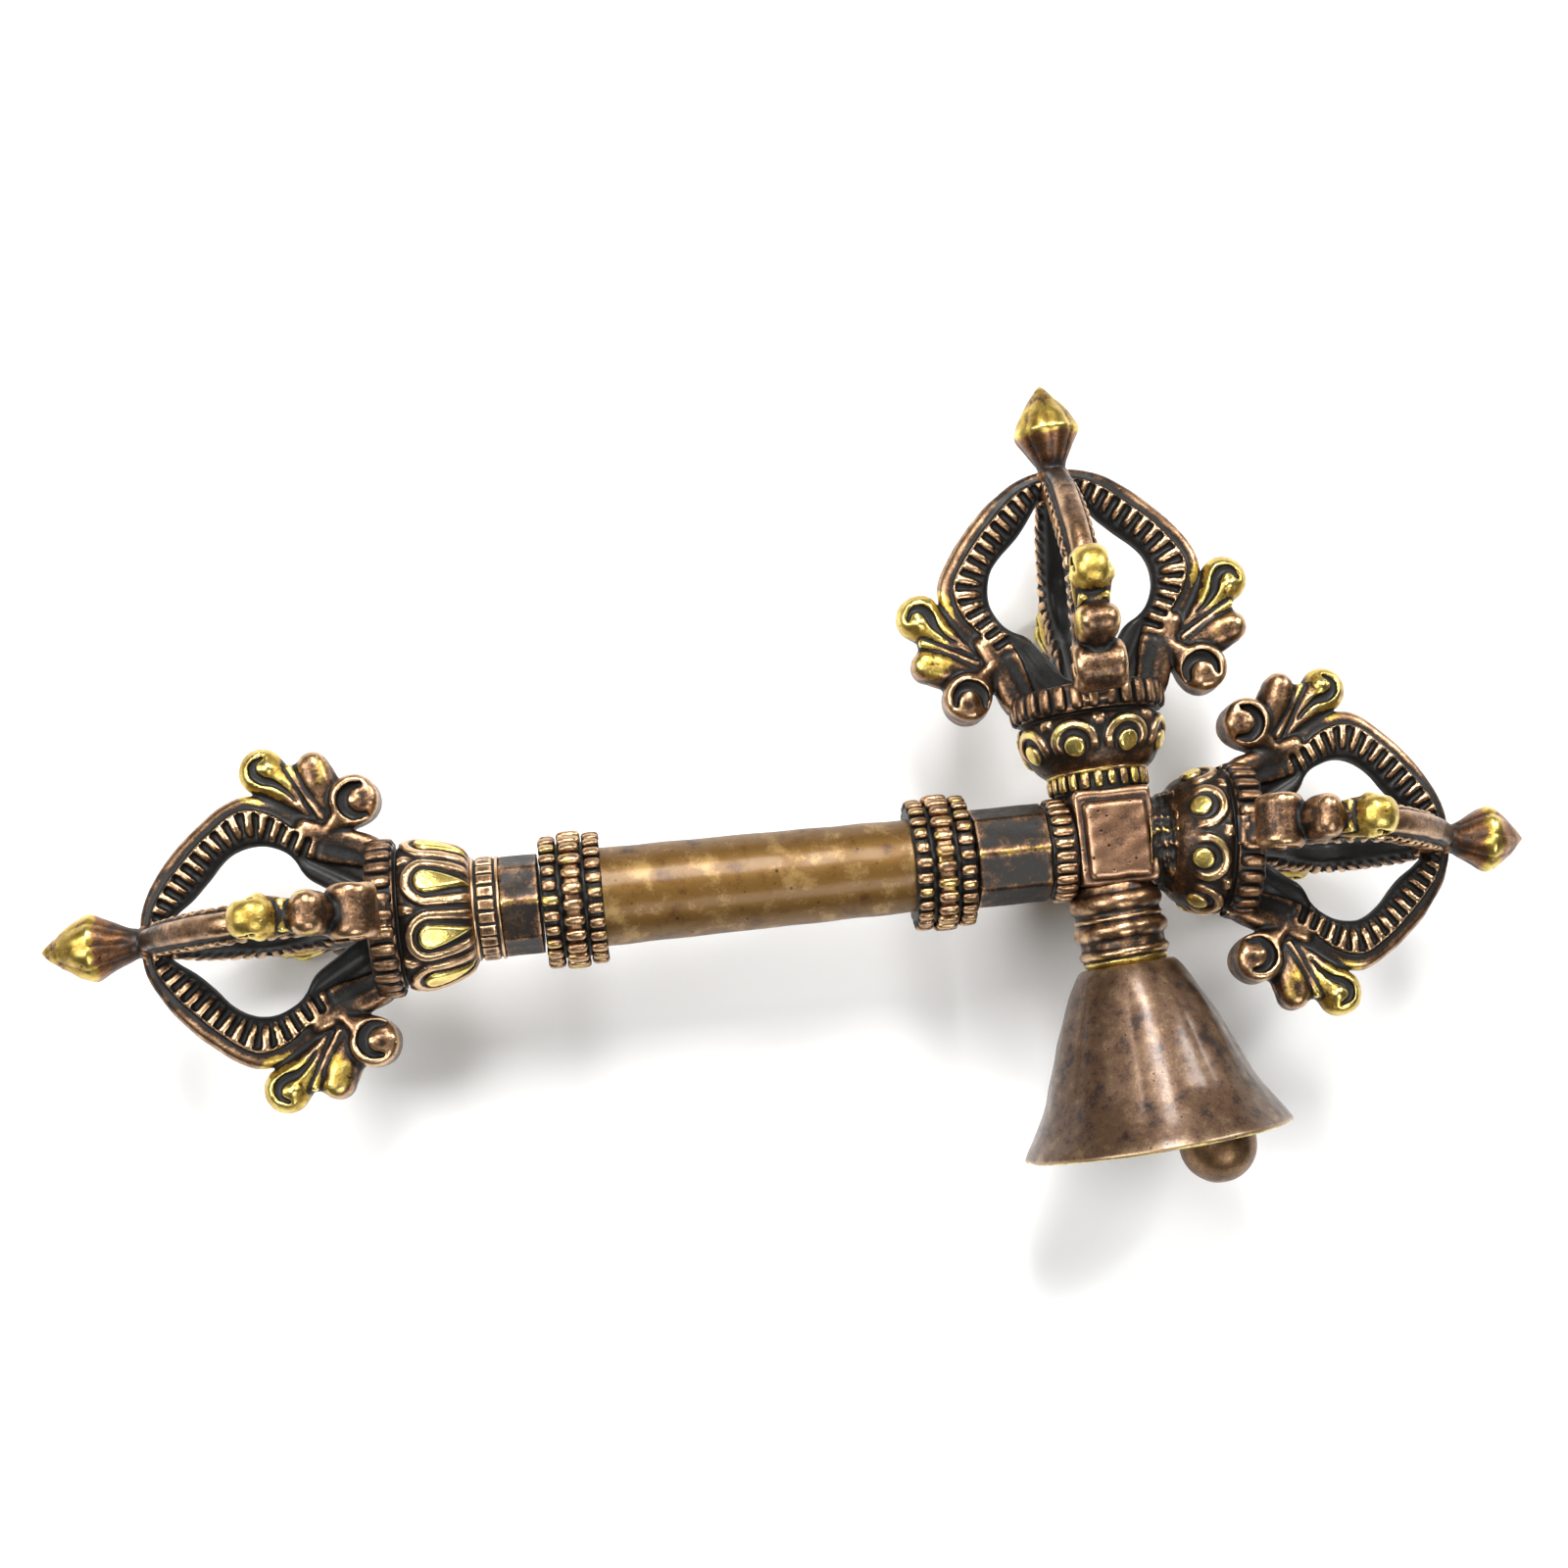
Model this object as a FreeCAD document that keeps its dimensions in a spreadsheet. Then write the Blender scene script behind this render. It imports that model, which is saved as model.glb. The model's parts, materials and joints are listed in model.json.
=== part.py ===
"""A crossed hand bell: a straight handle with a four-pronged head at its far end, a square block that
carries two more four-pronged heads, and a small bell with a swinging clapper under the block.

Frame, in millimetres: the piece lies on its side. +X runs along the handle from the far head towards
the block and past it, +Y points from the bell to the head opposite it, and +Z is up. The origin is on
the surface that it lies on, straight under the middle of the block.

Every arm is built in a frame of its own, with its length along local +Z and its upper side at local +X,
and is then turned into place.
"""
import FreeCAD, Part
import math
import os

import Sketcher

os.makedirs("parts", exist_ok=True)
doc = FreeCAD.newDocument("crossed_hand_bell")
Vector = FreeCAD.Vector

# ---------------------------------------------------------------------------------------- sizes

SIZES = [
    # the block and how the arms stand on it
    ("block_half_length", 5.3, "block, middle to its right or left face"),
    ("block_top", 7.4, "block, handle axis to the face under the top head"),
    ("block_bottom", 5.6, "block, handle axis to the face over the bell"),
    ("block_half_depth", 6.0, "block, middle to its upper or lower face"),
    ("block_chamfer", 0.7, "chamfer along the block's edges"),
    ("pad_length", 8.0, "raised cushion on the block, along the handle"),
    ("pad_width", 9.8, "raised cushion on the block, across the handle"),
    ("pad_height", 0.9, "how far the cushion stands up"),
    ("right_lean", -5.2, "right head, turn in the plane of the cross"),
    ("top_lean", 1.5, "top head, turn in the plane of the cross"),
    ("bell_lean", 3.9, "bell, turn in the plane of the cross"),
    ("bell_droop", 2.4, "bell, how far its mouth sinks towards the surface"),
    ("right_droop", 0.7, "right head, how far its tip sinks"),
    ("right_roll", -2.8, "right head, turn about its own axis"),
    ("top_roll", -3.0, "top head, turn about its own axis"),
    ("top_offset", -0.5, "top head, shift along the handle"),
    ("bell_offset", -0.3, "bell, shift along the handle"),
    # fits
    ("fit_gap", 0.05, "radial gap of a spigot in its socket"),
    ("running_gap", 0.15, "gap between the loops that swing in each other"),
    # the handle, measured along its axis
    ("block_collar_width", 3.7, "beaded collar beside the block"),
    ("block_collar_radius", 7.0, "beaded collar beside the block"),
    ("inner_shaft_length", 9.7, "bare eight-sided shaft near the block"),
    ("inner_collar_width", 9.4, "triple collar near the block"),
    ("sleeve_length", 40.2, "sleeve that shows between the triple collars"),
    ("outer_collar_width", 8.7, "triple collar near the far head"),
    ("outer_shaft_length", 5.2, "bare eight-sided shaft near the far head"),
    ("band_width", 3.6, "lattice band"),
    ("band_radius", 6.95, "lattice band"),
    ("shaft_radius", 6.65, "eight-sided shaft, to its corners"),
    ("sleeve_inner_end_radius", 6.25, "sleeve, end near the block"),
    ("sleeve_outer_end_radius", 6.6, "sleeve, end near the far head"),
    ("sleeve_wall", 1.2, "wall of the sleeve"),
    ("collar_radius", 9.2, "triple collar, over its middle hoop"),
    ("hoop_step", 0.35, "how much lower the two side hoops are"),
    ("hoop_depth", 0.8, "depth of the grooves between the hoops"),
    ("sleeve_overlap", 4.2, "how far a triple collar covers the sleeve"),
    ("spigot_length", 9.0, "shaft spigot inside the sleeve"),
    ("tenon_radius", 4.6, "round tenon through a band or collar"),
    ("tenon_depth", 3.0, "how deep a tenon sits in its socket"),
    # lotus cups
    ("cup_foot_radius", 7.1, "lotus cup, narrow end"),
    ("cup_belly_radius", 10.1, "lotus cup, widest part of the petals"),
    ("rim_radius", 10.6, "beaded rim of a lotus cup"),
    ("rim_width", 4.4, "beaded rim of a lotus cup"),
    ("rim_groove", 0.6, "groove between the petals and the rim"),
    ("handle_petal_length", 9.3, "petals of the far lotus cup"),
    ("top_petal_length", 7.1, "petals of the top lotus cup"),
    ("right_petal_length", 7.2, "petals of the right lotus cup"),
    ("top_ring_width", 2.6, "ring under the top lotus cup"),
    ("right_ring_width", 2.4, "ring under the right lotus cup"),
    ("ring_radius", 7.4, "ring under the top or right lotus cup, at the cup"),
    ("right_ring_foot_radius", 5.2, "ring under the right lotus cup, at the block"),
    # prongs, measured from the rim's face and from the head's axis
    ("handle_prong_length", 30.4, "prongs of the far head, rim to finial neck"),
    ("top_prong_length", 31.0, "prongs of the top head, rim to finial neck"),
    ("right_prong_length", 27.6, "prongs of the right head, rim to finial neck"),
    ("right_lobe_drop", 1.5, "how much nearer the rim the right head's lobes sit"),
    ("lobe_reach", 24.2, "axis to the outside of the curl"),
    ("curl_place", 12.9, "rim to the middle of the curl"),
    ("leaf_reach", 23.2, "axis to the outside of the leaf"),
    ("leaf_place", 6.5, "rim to the middle of the leaf"),
    ("scroll_reach", 16.1, "axis to the middle of the scroll"),
    ("scroll_place", 0.8, "rim to the middle of the scroll"),
    ("scroll_radius", 3.3, "scroll at the prong's foot"),
    ("scroll_disc_radius", 3.0, "thicker disc of the scroll"),
    ("scroll_thickness", 7.0, "thicker disc of the scroll"),
    ("prong_thickness", 5.0, "prong, across"),
    ("prong_chamfer", 0.6, "chamfer along the arch of a prong"),
    ("cage_radius", 10.6, "inside of the cage at its widest"),
    ("cage_place", 14.8, "rim to the cage's widest place"),
    ("arch_reach", 18.3, "axis to the foot of the outer arch"),
    ("foot_reach", 10.2, "axis to the outside of the prong's foot"),
    # finials
    ("hub_half", 2.6, "square hub that the prongs meet, half its side"),
    ("hub_height", 4.3, "square hub that the prongs meet"),
    ("neck_height", 0.8, "hub to the narrowest place of the neck"),
    ("finial_neck_radius", 1.9, "narrowest place of the neck"),
    ("finial_radius", 4.3, "widest place of a finial"),
    ("handle_finial_waist", 6.1, "far finial, neck to its widest place"),
    ("handle_finial_length", 12.85, "far finial, neck to tip"),
    ("top_finial_waist", 5.2, "top finial, neck to its widest place"),
    ("top_finial_length", 12.0, "top finial, neck to tip"),
    ("right_finial_waist", 5.1, "right finial, neck to its widest place"),
    ("right_finial_length", 10.4, "right finial, neck to tip"),
    ("finial_tip_radius", 0.35, "blunt point of a finial"),
    # bell
    ("neck_seat", 1.4, "wedge between the block and the neck's rings"),
    ("neck_seat_radius", 4.9, "wedge between the block and the neck's rings"),
    ("bell_neck_length", 10.5, "block to the crown of the bell"),
    ("bell_neck_radius", 5.9, "neck, in its grooves"),
    ("neck_ring_radius", 6.35, "neck, over its rings"),
    ("bell_height", 24.0, "crown to mouth"),
    ("crown_radius", 5.4, "flat of the crown"),
    ("shoulder_radius", 9.0, "bell where the shoulder ends"),
    ("shoulder_place", 4.5, "crown to the end of the shoulder"),
    ("waist_radius", 14.2, "bell where the flare begins"),
    ("flare_place", 6.4, "mouth to the beginning of the flare"),
    ("mouth_radius", 18.2, "bell, over its lip"),
    ("bell_wall", 1.3, "wall of the bell"),
    ("lip_width", 0.9, "flat of the lip"),
    # clapper
    ("staple_half_width", 1.5, "staple, middle to a leg"),
    ("staple_wire_radius", 0.5, "wire of the staple"),
    ("staple_drop", 2.6, "crown's inside to the bottom of the staple"),
    ("link_radius", 1.9, "link ring, to the middle of its wire"),
    ("link_wire_radius", 0.45, "wire of the link ring"),
    ("eye_radius", 1.5, "clapper's eye, to the middle of its wire"),
    ("clapper_wire_radius", 0.45, "wire of the clapper"),
    ("clapper_overhang", 5.2, "ball's middle past the mouth, when the clapper hangs straight"),
    ("ball_radius", 5.35, "clapper ball"),
    ("ball_socket_depth", 2.0, "how deep the wire sits in the ball"),
    ("ball_gap", 0.24, "ball to the inside of the lip, at rest"),
    ("ball_bearing", 34.8, "where the ball rests in the mouth, down from the right head's side"),
]

# Shares that shape the outlines between the sizes above.
PETAL_BELLY = 0.45  # where the petals' side passes through its bow, as a share of their length
PETAL_SHOULDER = 0.86  # where the petals turn in towards the groove
SCROLL_FOOT = (0.79, 0.61)  # foot of the scroll, in and back from its middle, in scroll radii
SCROLL_BACK = (0.6, 0.8)  # the scroll's far side
SCROLL_TOP = (0.39, 0.92)  # where the scroll meets the leaf
LEAF_NOTCH = (4.0, 0.5)  # notch between the leaf and the curl: depth, and shift towards the rim
CURL_TIP = 2.9  # radius of the curl's round tip
ARCH_BULGE = (2.6, 0.52)  # how far the outer arch bows out, and at what share of its rise
PRONG_TIP = 0.7  # how far the arch stands out of the hub where it ends
CAGE_BOW = (1.8, 1.2)  # how far the inside of the cage bows out, above and below its widest place
CAGE_FOOT = (1.2, 0.58)  # where the inside starts above the rim, and the share of its lower bow
SHOULDER_BOW = (0.35, 0.42)  # the bell's shoulder: bow and the share of its height
WAIST_BOW = 0.4  # how far the bell's waist bows out
FLARE_BOW = (0.45, 0.56)  # how far the flare is hollowed, and at what share of its length
INNER_SHOULDER = (0.77, 0.36, 0.7)  # the shoulder's inside: bow, its place, and the crown's inside edge
LEAST_CUT = 1.0  # a cut that takes away less, in cubic millimetres, has missed
HUB_OVERLAP = 0.5  # how deep the turned knop starts inside the hub

sheet = doc.addObject("Spreadsheet::Sheet", "Sizes")
for row, (alias, value, note) in enumerate(SIZES, start=1):
    sheet.set(f"A{row}", note)
    sheet.set(f"B{row}", str(value))
    sheet.setAlias(f"B{row}", alias)
doc.recompute()


class Size:
    """A number together with the expression that gives it, so a drawing and its drivers agree."""

    def __init__(self, number, text):
        self.number = number
        self.text = text

    def __add__(self, other):
        other = as_size(other)
        return Size(self.number + other.number, f"({self.text} + {other.text})")

    def __sub__(self, other):
        other = as_size(other)
        return Size(self.number - other.number, f"({self.text} - {other.text})")

    def __mul__(self, other):
        other = as_size(other)
        return Size(self.number * other.number, f"({self.text} * {other.text})")

    def __truediv__(self, other):
        other = as_size(other)
        return Size(self.number / other.number, f"({self.text} / {other.text})")

    def __neg__(self):
        return Size(-self.number, f"(0 - {self.text})")


def as_size(value):
    """A plain number as a Size, and a Size as it is."""
    return value if isinstance(value, Size) else Size(float(value), f"({value})")


def sine(angle):
    """The sine of an angle in degrees."""
    return Size(math.sin(math.radians(angle.number)), f"sin({angle.text} * 1 deg)")


def cosine(angle):
    """The cosine of an angle in degrees."""
    return Size(math.cos(math.radians(angle.number)), f"cos({angle.text} * 1 deg)")


def arcsine(ratio):
    """The angle in degrees that has this sine."""
    return Size(math.degrees(math.asin(ratio.number)), f"(asin({ratio.text}) / 1 deg)")


class Drivers:
    """The sheet's cells by name."""

    def __getattr__(self, alias):
        return Size(float(sheet.get(alias)), f"Sizes.{alias}")


size = Drivers()

# The lowest of the three heads touches the surface with the outside of its curls. The top head is
# rolled, so the edge of its curl's flat reaches a little lower than the curl's middle.
axis_height = size.lobe_reach * cosine(size.top_roll) - size.prong_thickness / 2 * sine(size.top_roll)

# ------------------------------------------------------------------------------- drawing helpers


def bind(item, name, value):
    """Drives a property from the sheet."""
    item.setExpression(name, as_size(value).text)


def origin_plane(body, role):
    """One of a body's own origin planes."""
    return [item for item in body.Origin.OriginFeatures if item.Role == role][0]


def new_body(label):
    """An empty body with its own name."""
    body = doc.addObject("PartDesign::Body", label)
    body.Label = label
    return body


def new_sketch(body, name, role="XZ_Plane"):
    """A sketch on one of the body's origin planes. On XZ, sketch y is the body's Z."""
    sketch = body.newObject("Sketcher::SketchObject", f"{body.Name}_{name}")
    sketch.AttachmentSupport = [(origin_plane(body, role), "")]
    sketch.MapMode = "FlatFace"
    return sketch


def pin(sketch, geometry, point, x, y):
    """Fixes a point of a sketch to two driven distances from the sketch's origin."""
    for kind, value, axis in (("DistanceX", x, -2), ("DistanceY", y, -1)):
        if abs(value.number) < 1e-9 and value.text == "(0)":
            sketch.addConstraint(Sketcher.Constraint("PointOnObject", geometry, point, axis))
            continue
        entry = Sketcher.Constraint(kind, -1, 1, geometry, point, value.number)
        index = sketch.addConstraint(entry)
        sketch.setExpression(f"Constraints[{index}]", value.text)


def draw_outline(sketch, path, closed=True):
    """Draws an outline. A corner is (x, y); (x, y, "through") bends the edge that it lies on."""
    corners = []
    bends = {}
    for entry in path:
        point = (as_size(entry[0]), as_size(entry[1]))
        if len(entry) == 3:
            bends[len(corners) - 1] = point
        else:
            corners.append(point)
    edges = []
    for index in range(len(corners) if closed else len(corners) - 1):
        start, finish = corners[index], corners[(index + 1) % len(corners)]
        first = Vector(start[0].number, start[1].number, 0)
        last = Vector(finish[0].number, finish[1].number, 0)
        if index in bends:
            middle = Vector(bends[index][0].number, bends[index][1].number, 0)
            edge = sketch.addGeometry(Part.Arc(first, middle, last))
        else:
            edge = sketch.addGeometry(Part.LineSegment(first, last))
        flipped = sketch.getPoint(edge, 1).distanceToPoint(first) > 1e-6
        edges.append((edge, 2, 1) if flipped else (edge, 1, 2))
    for index, (edge, head, tail) in enumerate(edges):
        pin(sketch, edge, head, *corners[index])
        if closed or index + 1 < len(edges):
            after, after_head, _ = edges[(index + 1) % len(edges)]
            sketch.addConstraint(Sketcher.Constraint("Coincident", edge, tail, after, after_head))
        else:
            pin(sketch, edge, tail, *corners[-1])
        if index in bends:
            x, y = bends[index]
            mark = sketch.addGeometry(Part.Point(Vector(x.number, y.number, 0)), True)
            sketch.addConstraint(Sketcher.Constraint("PointOnObject", mark, 1, edge))
            pin(sketch, mark, 1, x, y)


def draw_circle(sketch, x, y, radius):
    """Draws a circle whose centre and radius are driven."""
    x, y, radius = as_size(x), as_size(y), as_size(radius)
    circle = Part.Circle(Vector(x.number, y.number, 0), Vector(0, 0, 1), radius.number)
    geometry = sketch.addGeometry(circle)
    pin(sketch, geometry, 3, x, y)
    index = sketch.addConstraint(Sketcher.Constraint("Radius", geometry, radius.number))
    sketch.setExpression(f"Constraints[{index}]", radius.text)


def draw_polygon(sketch, sides, radius, first_angle):
    """Draws a regular polygon whose corners lie on a driven radius."""
    corners = []
    for index in range(sides):
        angle = math.radians(first_angle + 360.0 * index / sides)
        corners.append((radius * round(math.cos(angle), 9), radius * round(math.sin(angle), 9)))
    draw_outline(sketch, corners)


def draw_rectangle(sketch, left, low, right, high):
    """Draws a rectangle with driven sides."""
    draw_outline(sketch, [(left, low), (right, low), (right, high), (left, high)])


def revolve(body, name, path):
    """Turns a half section, drawn as (radius, height), about the body's Z axis."""
    sketch = new_sketch(body, f"{name}_section")
    draw_outline(sketch, path)
    turned = body.newObject("PartDesign::Revolution", f"{body.Name}_{name}")
    turned.Profile = sketch
    turned.ReferenceAxis = (sketch, ["V_Axis"])
    turned.Angle = 360
    sketch.Visibility = False
    return turned


def pad(body, name, sketch, length, symmetric=False, reverse=False):
    """Pads a sketch by a driven length."""
    feature = body.newObject("PartDesign::Pad", f"{body.Name}_{name}")
    feature.Profile = sketch
    feature.SideType = "Symmetric" if symmetric else "One side"
    feature.Reversed = reverse
    bind(feature, "Length", length)
    return feature


def raise_sketch(sketch, height):
    """Moves a sketch off its plane, along the plane's normal."""
    bind(sketch, "AttachmentOffset.Base.z", height)


# ------------------------------------------------------------------------------------ the frames


def turn(axis, angle):
    """The expression of a rotation about one of the axes."""
    vector = {"x": "1; 0; 0", "y": "0; 1; 0", "z": "0; 0; 1"}[axis]
    return f"rotation(vector({vector}); {as_size(angle).text})"


def face_frame(x, y, azimuth):
    """A frame on the cross: local Z looks out level along the azimuth, and local X looks up."""
    place = f"vector({as_size(x).text}; {as_size(y).text}; {axis_height.text})"
    return f"placement({place}; {turn('z', azimuth)} * {turn('y', 90)} * {turn('z', 180)})"


def tilted(frame, lean, droop):
    """The same frame after the arm's lean and droop."""
    return f"{frame} * placement(vector(0; 0; 0); {turn('x', lean)} * {turn('y', -as_size(droop))})"


def put(item, frame, height=0, angle=0):
    """Places a sub-part in a frame, at a height along it and turned about it."""
    local = f"placement(vector(0; 0; {as_size(height).text}); {turn('z', angle)})"
    item.setExpression("Placement", f"{frame} * {local}")


handle_arm = face_frame(0, 0, 180)
right_arm = tilted(face_frame(size.block_half_length, 0, 0), size.right_lean, size.right_droop)
top_arm = tilted(face_frame(size.top_offset, size.block_top, 90), size.top_lean, 0)
bell_arm = tilted(face_frame(size.bell_offset, -size.block_bottom, -90), size.bell_lean, size.bell_droop)

parts = []


def finish(item):
    """Keeps a finished sub-part for the export."""
    parts.append(item)
    return item


# ----------------------------------------------------------------------------------- the block

handle_socket = size.tenon_radius + size.fit_gap


def must_cut(body, volume_before):
    """Stops when a cut has taken nothing away."""
    if body.Shape.Volume > volume_before - LEAST_CUT:
        raise RuntimeError(f"{body.Label}: a cut removed nothing")


def make_block():
    """The square block, with a cushion on its upper and lower face and a socket for the handle."""
    body = new_body("centre_block")
    outline = new_sketch(body, "outline", "XY_Plane")
    draw_rectangle(outline, -size.block_half_length, -size.block_bottom,
                   size.block_half_length, size.block_top)
    block = pad(body, "block", outline, size.block_half_depth * 2, symmetric=True)
    doc.recompute()
    edges = [
        f"Edge{number}"
        for number, edge in enumerate(block.Shape.Edges, start=1)
        if abs(edge.tangentAt(edge.FirstParameter).z) < 0.5
    ]
    bevel = body.newObject("PartDesign::Chamfer", "centre_block_bevel")
    bevel.Base = (block, edges)
    bind(bevel, "Size", size.block_chamfer)
    for name, reverse in (("upper_cushion", False), ("lower_cushion", True)):
        sketch = new_sketch(body, name, "XY_Plane")
        draw_rectangle(sketch, -size.pad_length / 2, -size.pad_width / 2,
                       size.pad_length / 2, size.pad_width / 2)
        raise_sketch(sketch, -size.block_half_depth if reverse else size.block_half_depth)
        pad(body, f"{name}_pad", sketch, size.pad_height, reverse=reverse)
    doc.recompute()
    volume_before = body.Shape.Volume
    socket = new_sketch(body, "socket", "YZ_Plane")
    draw_circle(socket, 0, 0, handle_socket)
    raise_sketch(socket, -size.block_half_length)
    bore = body.newObject("PartDesign::Pocket", "centre_block_bore")
    bore.Profile = socket
    bore.Reversed = True
    bind(bore, "Length", size.tenon_depth)
    doc.recompute()
    must_cut(body, volume_before)
    body.setExpression("Placement.Base.z", axis_height.text)
    return finish(body)


# ----------------------------------------------------------------------------------- the handle

block_collar_start = size.block_half_length
inner_shaft_start = block_collar_start + size.block_collar_width
inner_collar_start = inner_shaft_start + size.inner_shaft_length
sleeve_start = inner_collar_start + size.inner_collar_width - size.sleeve_overlap
outer_collar_start = inner_collar_start + size.inner_collar_width + size.sleeve_length
sleeve_end = outer_collar_start + size.sleeve_overlap
outer_shaft_start = outer_collar_start + size.outer_collar_width
band_start = outer_shaft_start + size.outer_shaft_length
handle_cup_start = band_start + size.band_width
handle_rim_face = handle_cup_start + size.handle_petal_length + size.rim_width
spigot_radius = size.sleeve_inner_end_radius - size.sleeve_wall - size.fit_gap
sleeve_bore = size.sleeve_inner_end_radius - size.sleeve_wall


def make_block_collar():
    """The beaded collar that the handle's tenon passes through, beside the block."""
    body = new_body("block_collar")
    width, radius = size.block_collar_width, size.block_collar_radius
    edge_radius = radius - size.hoop_step
    revolve(body, "ring", [
        (handle_socket, 0),
        (edge_radius, 0),
        (radius, width / 2, "through"),
        (edge_radius, width),
        (handle_socket, width),
    ])
    put(body, handle_arm, block_collar_start)
    return finish(body)


def make_shaft(label, length, frame_height, tenon_length, spigot_up):
    """An eight-sided stub with a round tenon at one end and a spigot for the sleeve at the other."""
    body = new_body(label)
    outline = new_sketch(body, "outline", "XY_Plane")
    draw_polygon(outline, 8, size.shaft_radius, 0)
    pad(body, "stub", outline, length)
    spigot = new_sketch(body, "spigot", "XY_Plane")
    draw_circle(spigot, 0, 0, spigot_radius)
    tenon = new_sketch(body, "tenon", "XY_Plane")
    draw_circle(tenon, 0, 0, size.tenon_radius)
    upper, lower = (spigot, tenon) if spigot_up else (tenon, spigot)
    raise_sketch(upper, length)
    upper_length = size.spigot_length if spigot_up else tenon_length
    lower_length = tenon_length if spigot_up else size.spigot_length
    pad(body, "upper_end", upper, upper_length)
    pad(body, "lower_end", lower, lower_length, reverse=True)
    put(body, handle_arm, frame_height)
    return finish(body)


def make_triple_collar(label, width, start, stub_below):
    """Three rounded hoops side by side, bored for the shaft at one end and the sleeve at the other."""
    body = new_body(label)
    sleeve_radius = size.sleeve_inner_end_radius if stub_below else size.sleeve_outer_end_radius
    shaft_bore = size.shaft_radius + size.fit_gap
    split = width - size.sleeve_overlap if stub_below else size.sleeve_overlap
    lower_bore, upper_bore = (shaft_bore, sleeve_radius) if stub_below else (sleeve_radius, shaft_bore)
    side, middle = size.collar_radius - size.hoop_step, size.collar_radius
    groove = side - size.hoop_depth
    revolve(body, "hoops", [
        (lower_bore, 0),
        (groove, 0),
        (side, width / 6, "through"),
        (groove, width / 3),
        (middle, width / 2, "through"),
        (groove, width * 2 / 3),
        (side, width * 5 / 6, "through"),
        (groove, width),
        (upper_bore, width),
        (upper_bore, split),
        (lower_bore, split),
    ])
    put(body, handle_arm, start)
    return finish(body)


def make_sleeve():
    """The drawn sleeve of the grip, a little thinner towards the block, straight under each collar."""
    body = new_body("grip_sleeve")
    length = sleeve_end - sleeve_start
    revolve(body, "tube", [
        (sleeve_bore, 0),
        (size.sleeve_inner_end_radius, 0),
        (size.sleeve_inner_end_radius, size.sleeve_overlap),
        (size.sleeve_outer_end_radius, length - size.sleeve_overlap),
        (size.sleeve_outer_end_radius, length),
        (sleeve_bore, length),
    ])
    put(body, handle_arm, sleeve_start)
    return finish(body)


def make_band():
    """The lattice band between the shaft and the far lotus cup."""
    body = new_body("lattice_band")
    bore = size.tenon_radius + size.fit_gap
    revolve(body, "ring", [
        (bore, 0),
        (size.band_radius, 0),
        (size.band_radius, size.band_width),
        (bore, size.band_width),
    ])
    put(body, handle_arm, band_start)
    return finish(body)


# ------------------------------------------------------------------------------------ the heads


def make_cup(label, petals, frame, start, angle, socket_depth=None):
    """A lotus cup: eight swelling petals, a groove and a rim. The far cup has a socket below."""
    body = new_body(label)
    height = petals + size.rim_width
    axis_foot = [(0, 0)]
    if socket_depth is not None:
        bore = size.tenon_radius + size.fit_gap
        axis_foot = [(0, socket_depth), (bore, socket_depth), (bore, 0)]
    revolve(body, "turned", axis_foot + [
        (size.cup_foot_radius, 0),
        (size.cup_belly_radius - size.rim_groove, petals * PETAL_BELLY, "through"),
        (size.cup_belly_radius, petals * PETAL_SHOULDER),
        (size.cup_belly_radius - size.rim_groove, petals),
        (size.rim_radius, petals + size.rim_groove),
        (size.rim_radius, height - size.rim_groove),
        (size.rim_radius - size.rim_groove, height),
        (0, height),
    ])
    put(body, frame, start, angle)
    return finish(body)


def make_wedge_ring(label, foot_radius, width, frame, lean, droop):
    """A ring that fills the gap between a level face of the block and a leaning arm."""
    body = new_body(label)
    foot = new_sketch(body, "foot", "XY_Plane")
    draw_circle(foot, 0, 0, foot_radius)
    untilt = f"{turn('y', droop)} * {turn('x', -as_size(lean))}"
    foot.setExpression("AttachmentOffset", f"placement(vector(0; 0; 0); {untilt})")
    top = new_sketch(body, "top", "XY_Plane")
    draw_circle(top, 0, 0, size.ring_radius)
    raise_sketch(top, width)
    loft = body.newObject("PartDesign::AdditiveLoft", f"{label}_loft")
    loft.Profile = foot
    loft.Sections = [top]
    put(body, frame)
    return finish(body)


def prong_outline(length, reach, drop):
    """The prong's side view, as (distance from the axis, distance from the rim)."""
    hub = size.hub_half
    curl = size.curl_place - drop
    leaf = size.leaf_place - drop
    cage = size.cage_place - drop
    scroll = size.scroll_place - drop / 2
    scroll_out = size.scroll_reach
    radius = size.scroll_radius
    arch_foot = curl + CURL_TIP
    arch_top = length - size.neck_height
    hub_foot = arch_top - size.hub_height
    rise = arch_top - arch_foot
    return [
        (hub, 0),
        (size.foot_reach, 0),
        (scroll_out - radius * SCROLL_FOOT[0], scroll - radius * SCROLL_FOOT[1]),
        (scroll_out + radius * SCROLL_BACK[0], scroll - radius * SCROLL_BACK[1], "through"),
        (scroll_out + radius * SCROLL_TOP[0], scroll + radius * SCROLL_TOP[1]),
        (size.leaf_reach, leaf, "through"),
        (size.leaf_reach - LEAF_NOTCH[0], (leaf + curl) / 2 - LEAF_NOTCH[1]),
        (reach - CURL_TIP, curl - CURL_TIP),
        (reach, curl, "through"),
        (reach - CURL_TIP, arch_foot),
        (size.arch_reach, arch_foot),
        ((size.arch_reach + hub) / 2 + ARCH_BULGE[0], arch_foot + rise * ARCH_BULGE[1], "through"),
        (hub + PRONG_TIP, arch_top),
        (hub, arch_top),
        (hub, hub_foot),
        ((size.cage_radius + hub) / 2 + CAGE_BOW[0], (cage + hub_foot) / 2, "through"),
        (size.cage_radius, cage),
        ((size.cage_radius + hub) / 2 + CAGE_BOW[1], cage * CAGE_FOOT[1], "through"),
        (hub, CAGE_FOOT[0]),
    ]


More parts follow.
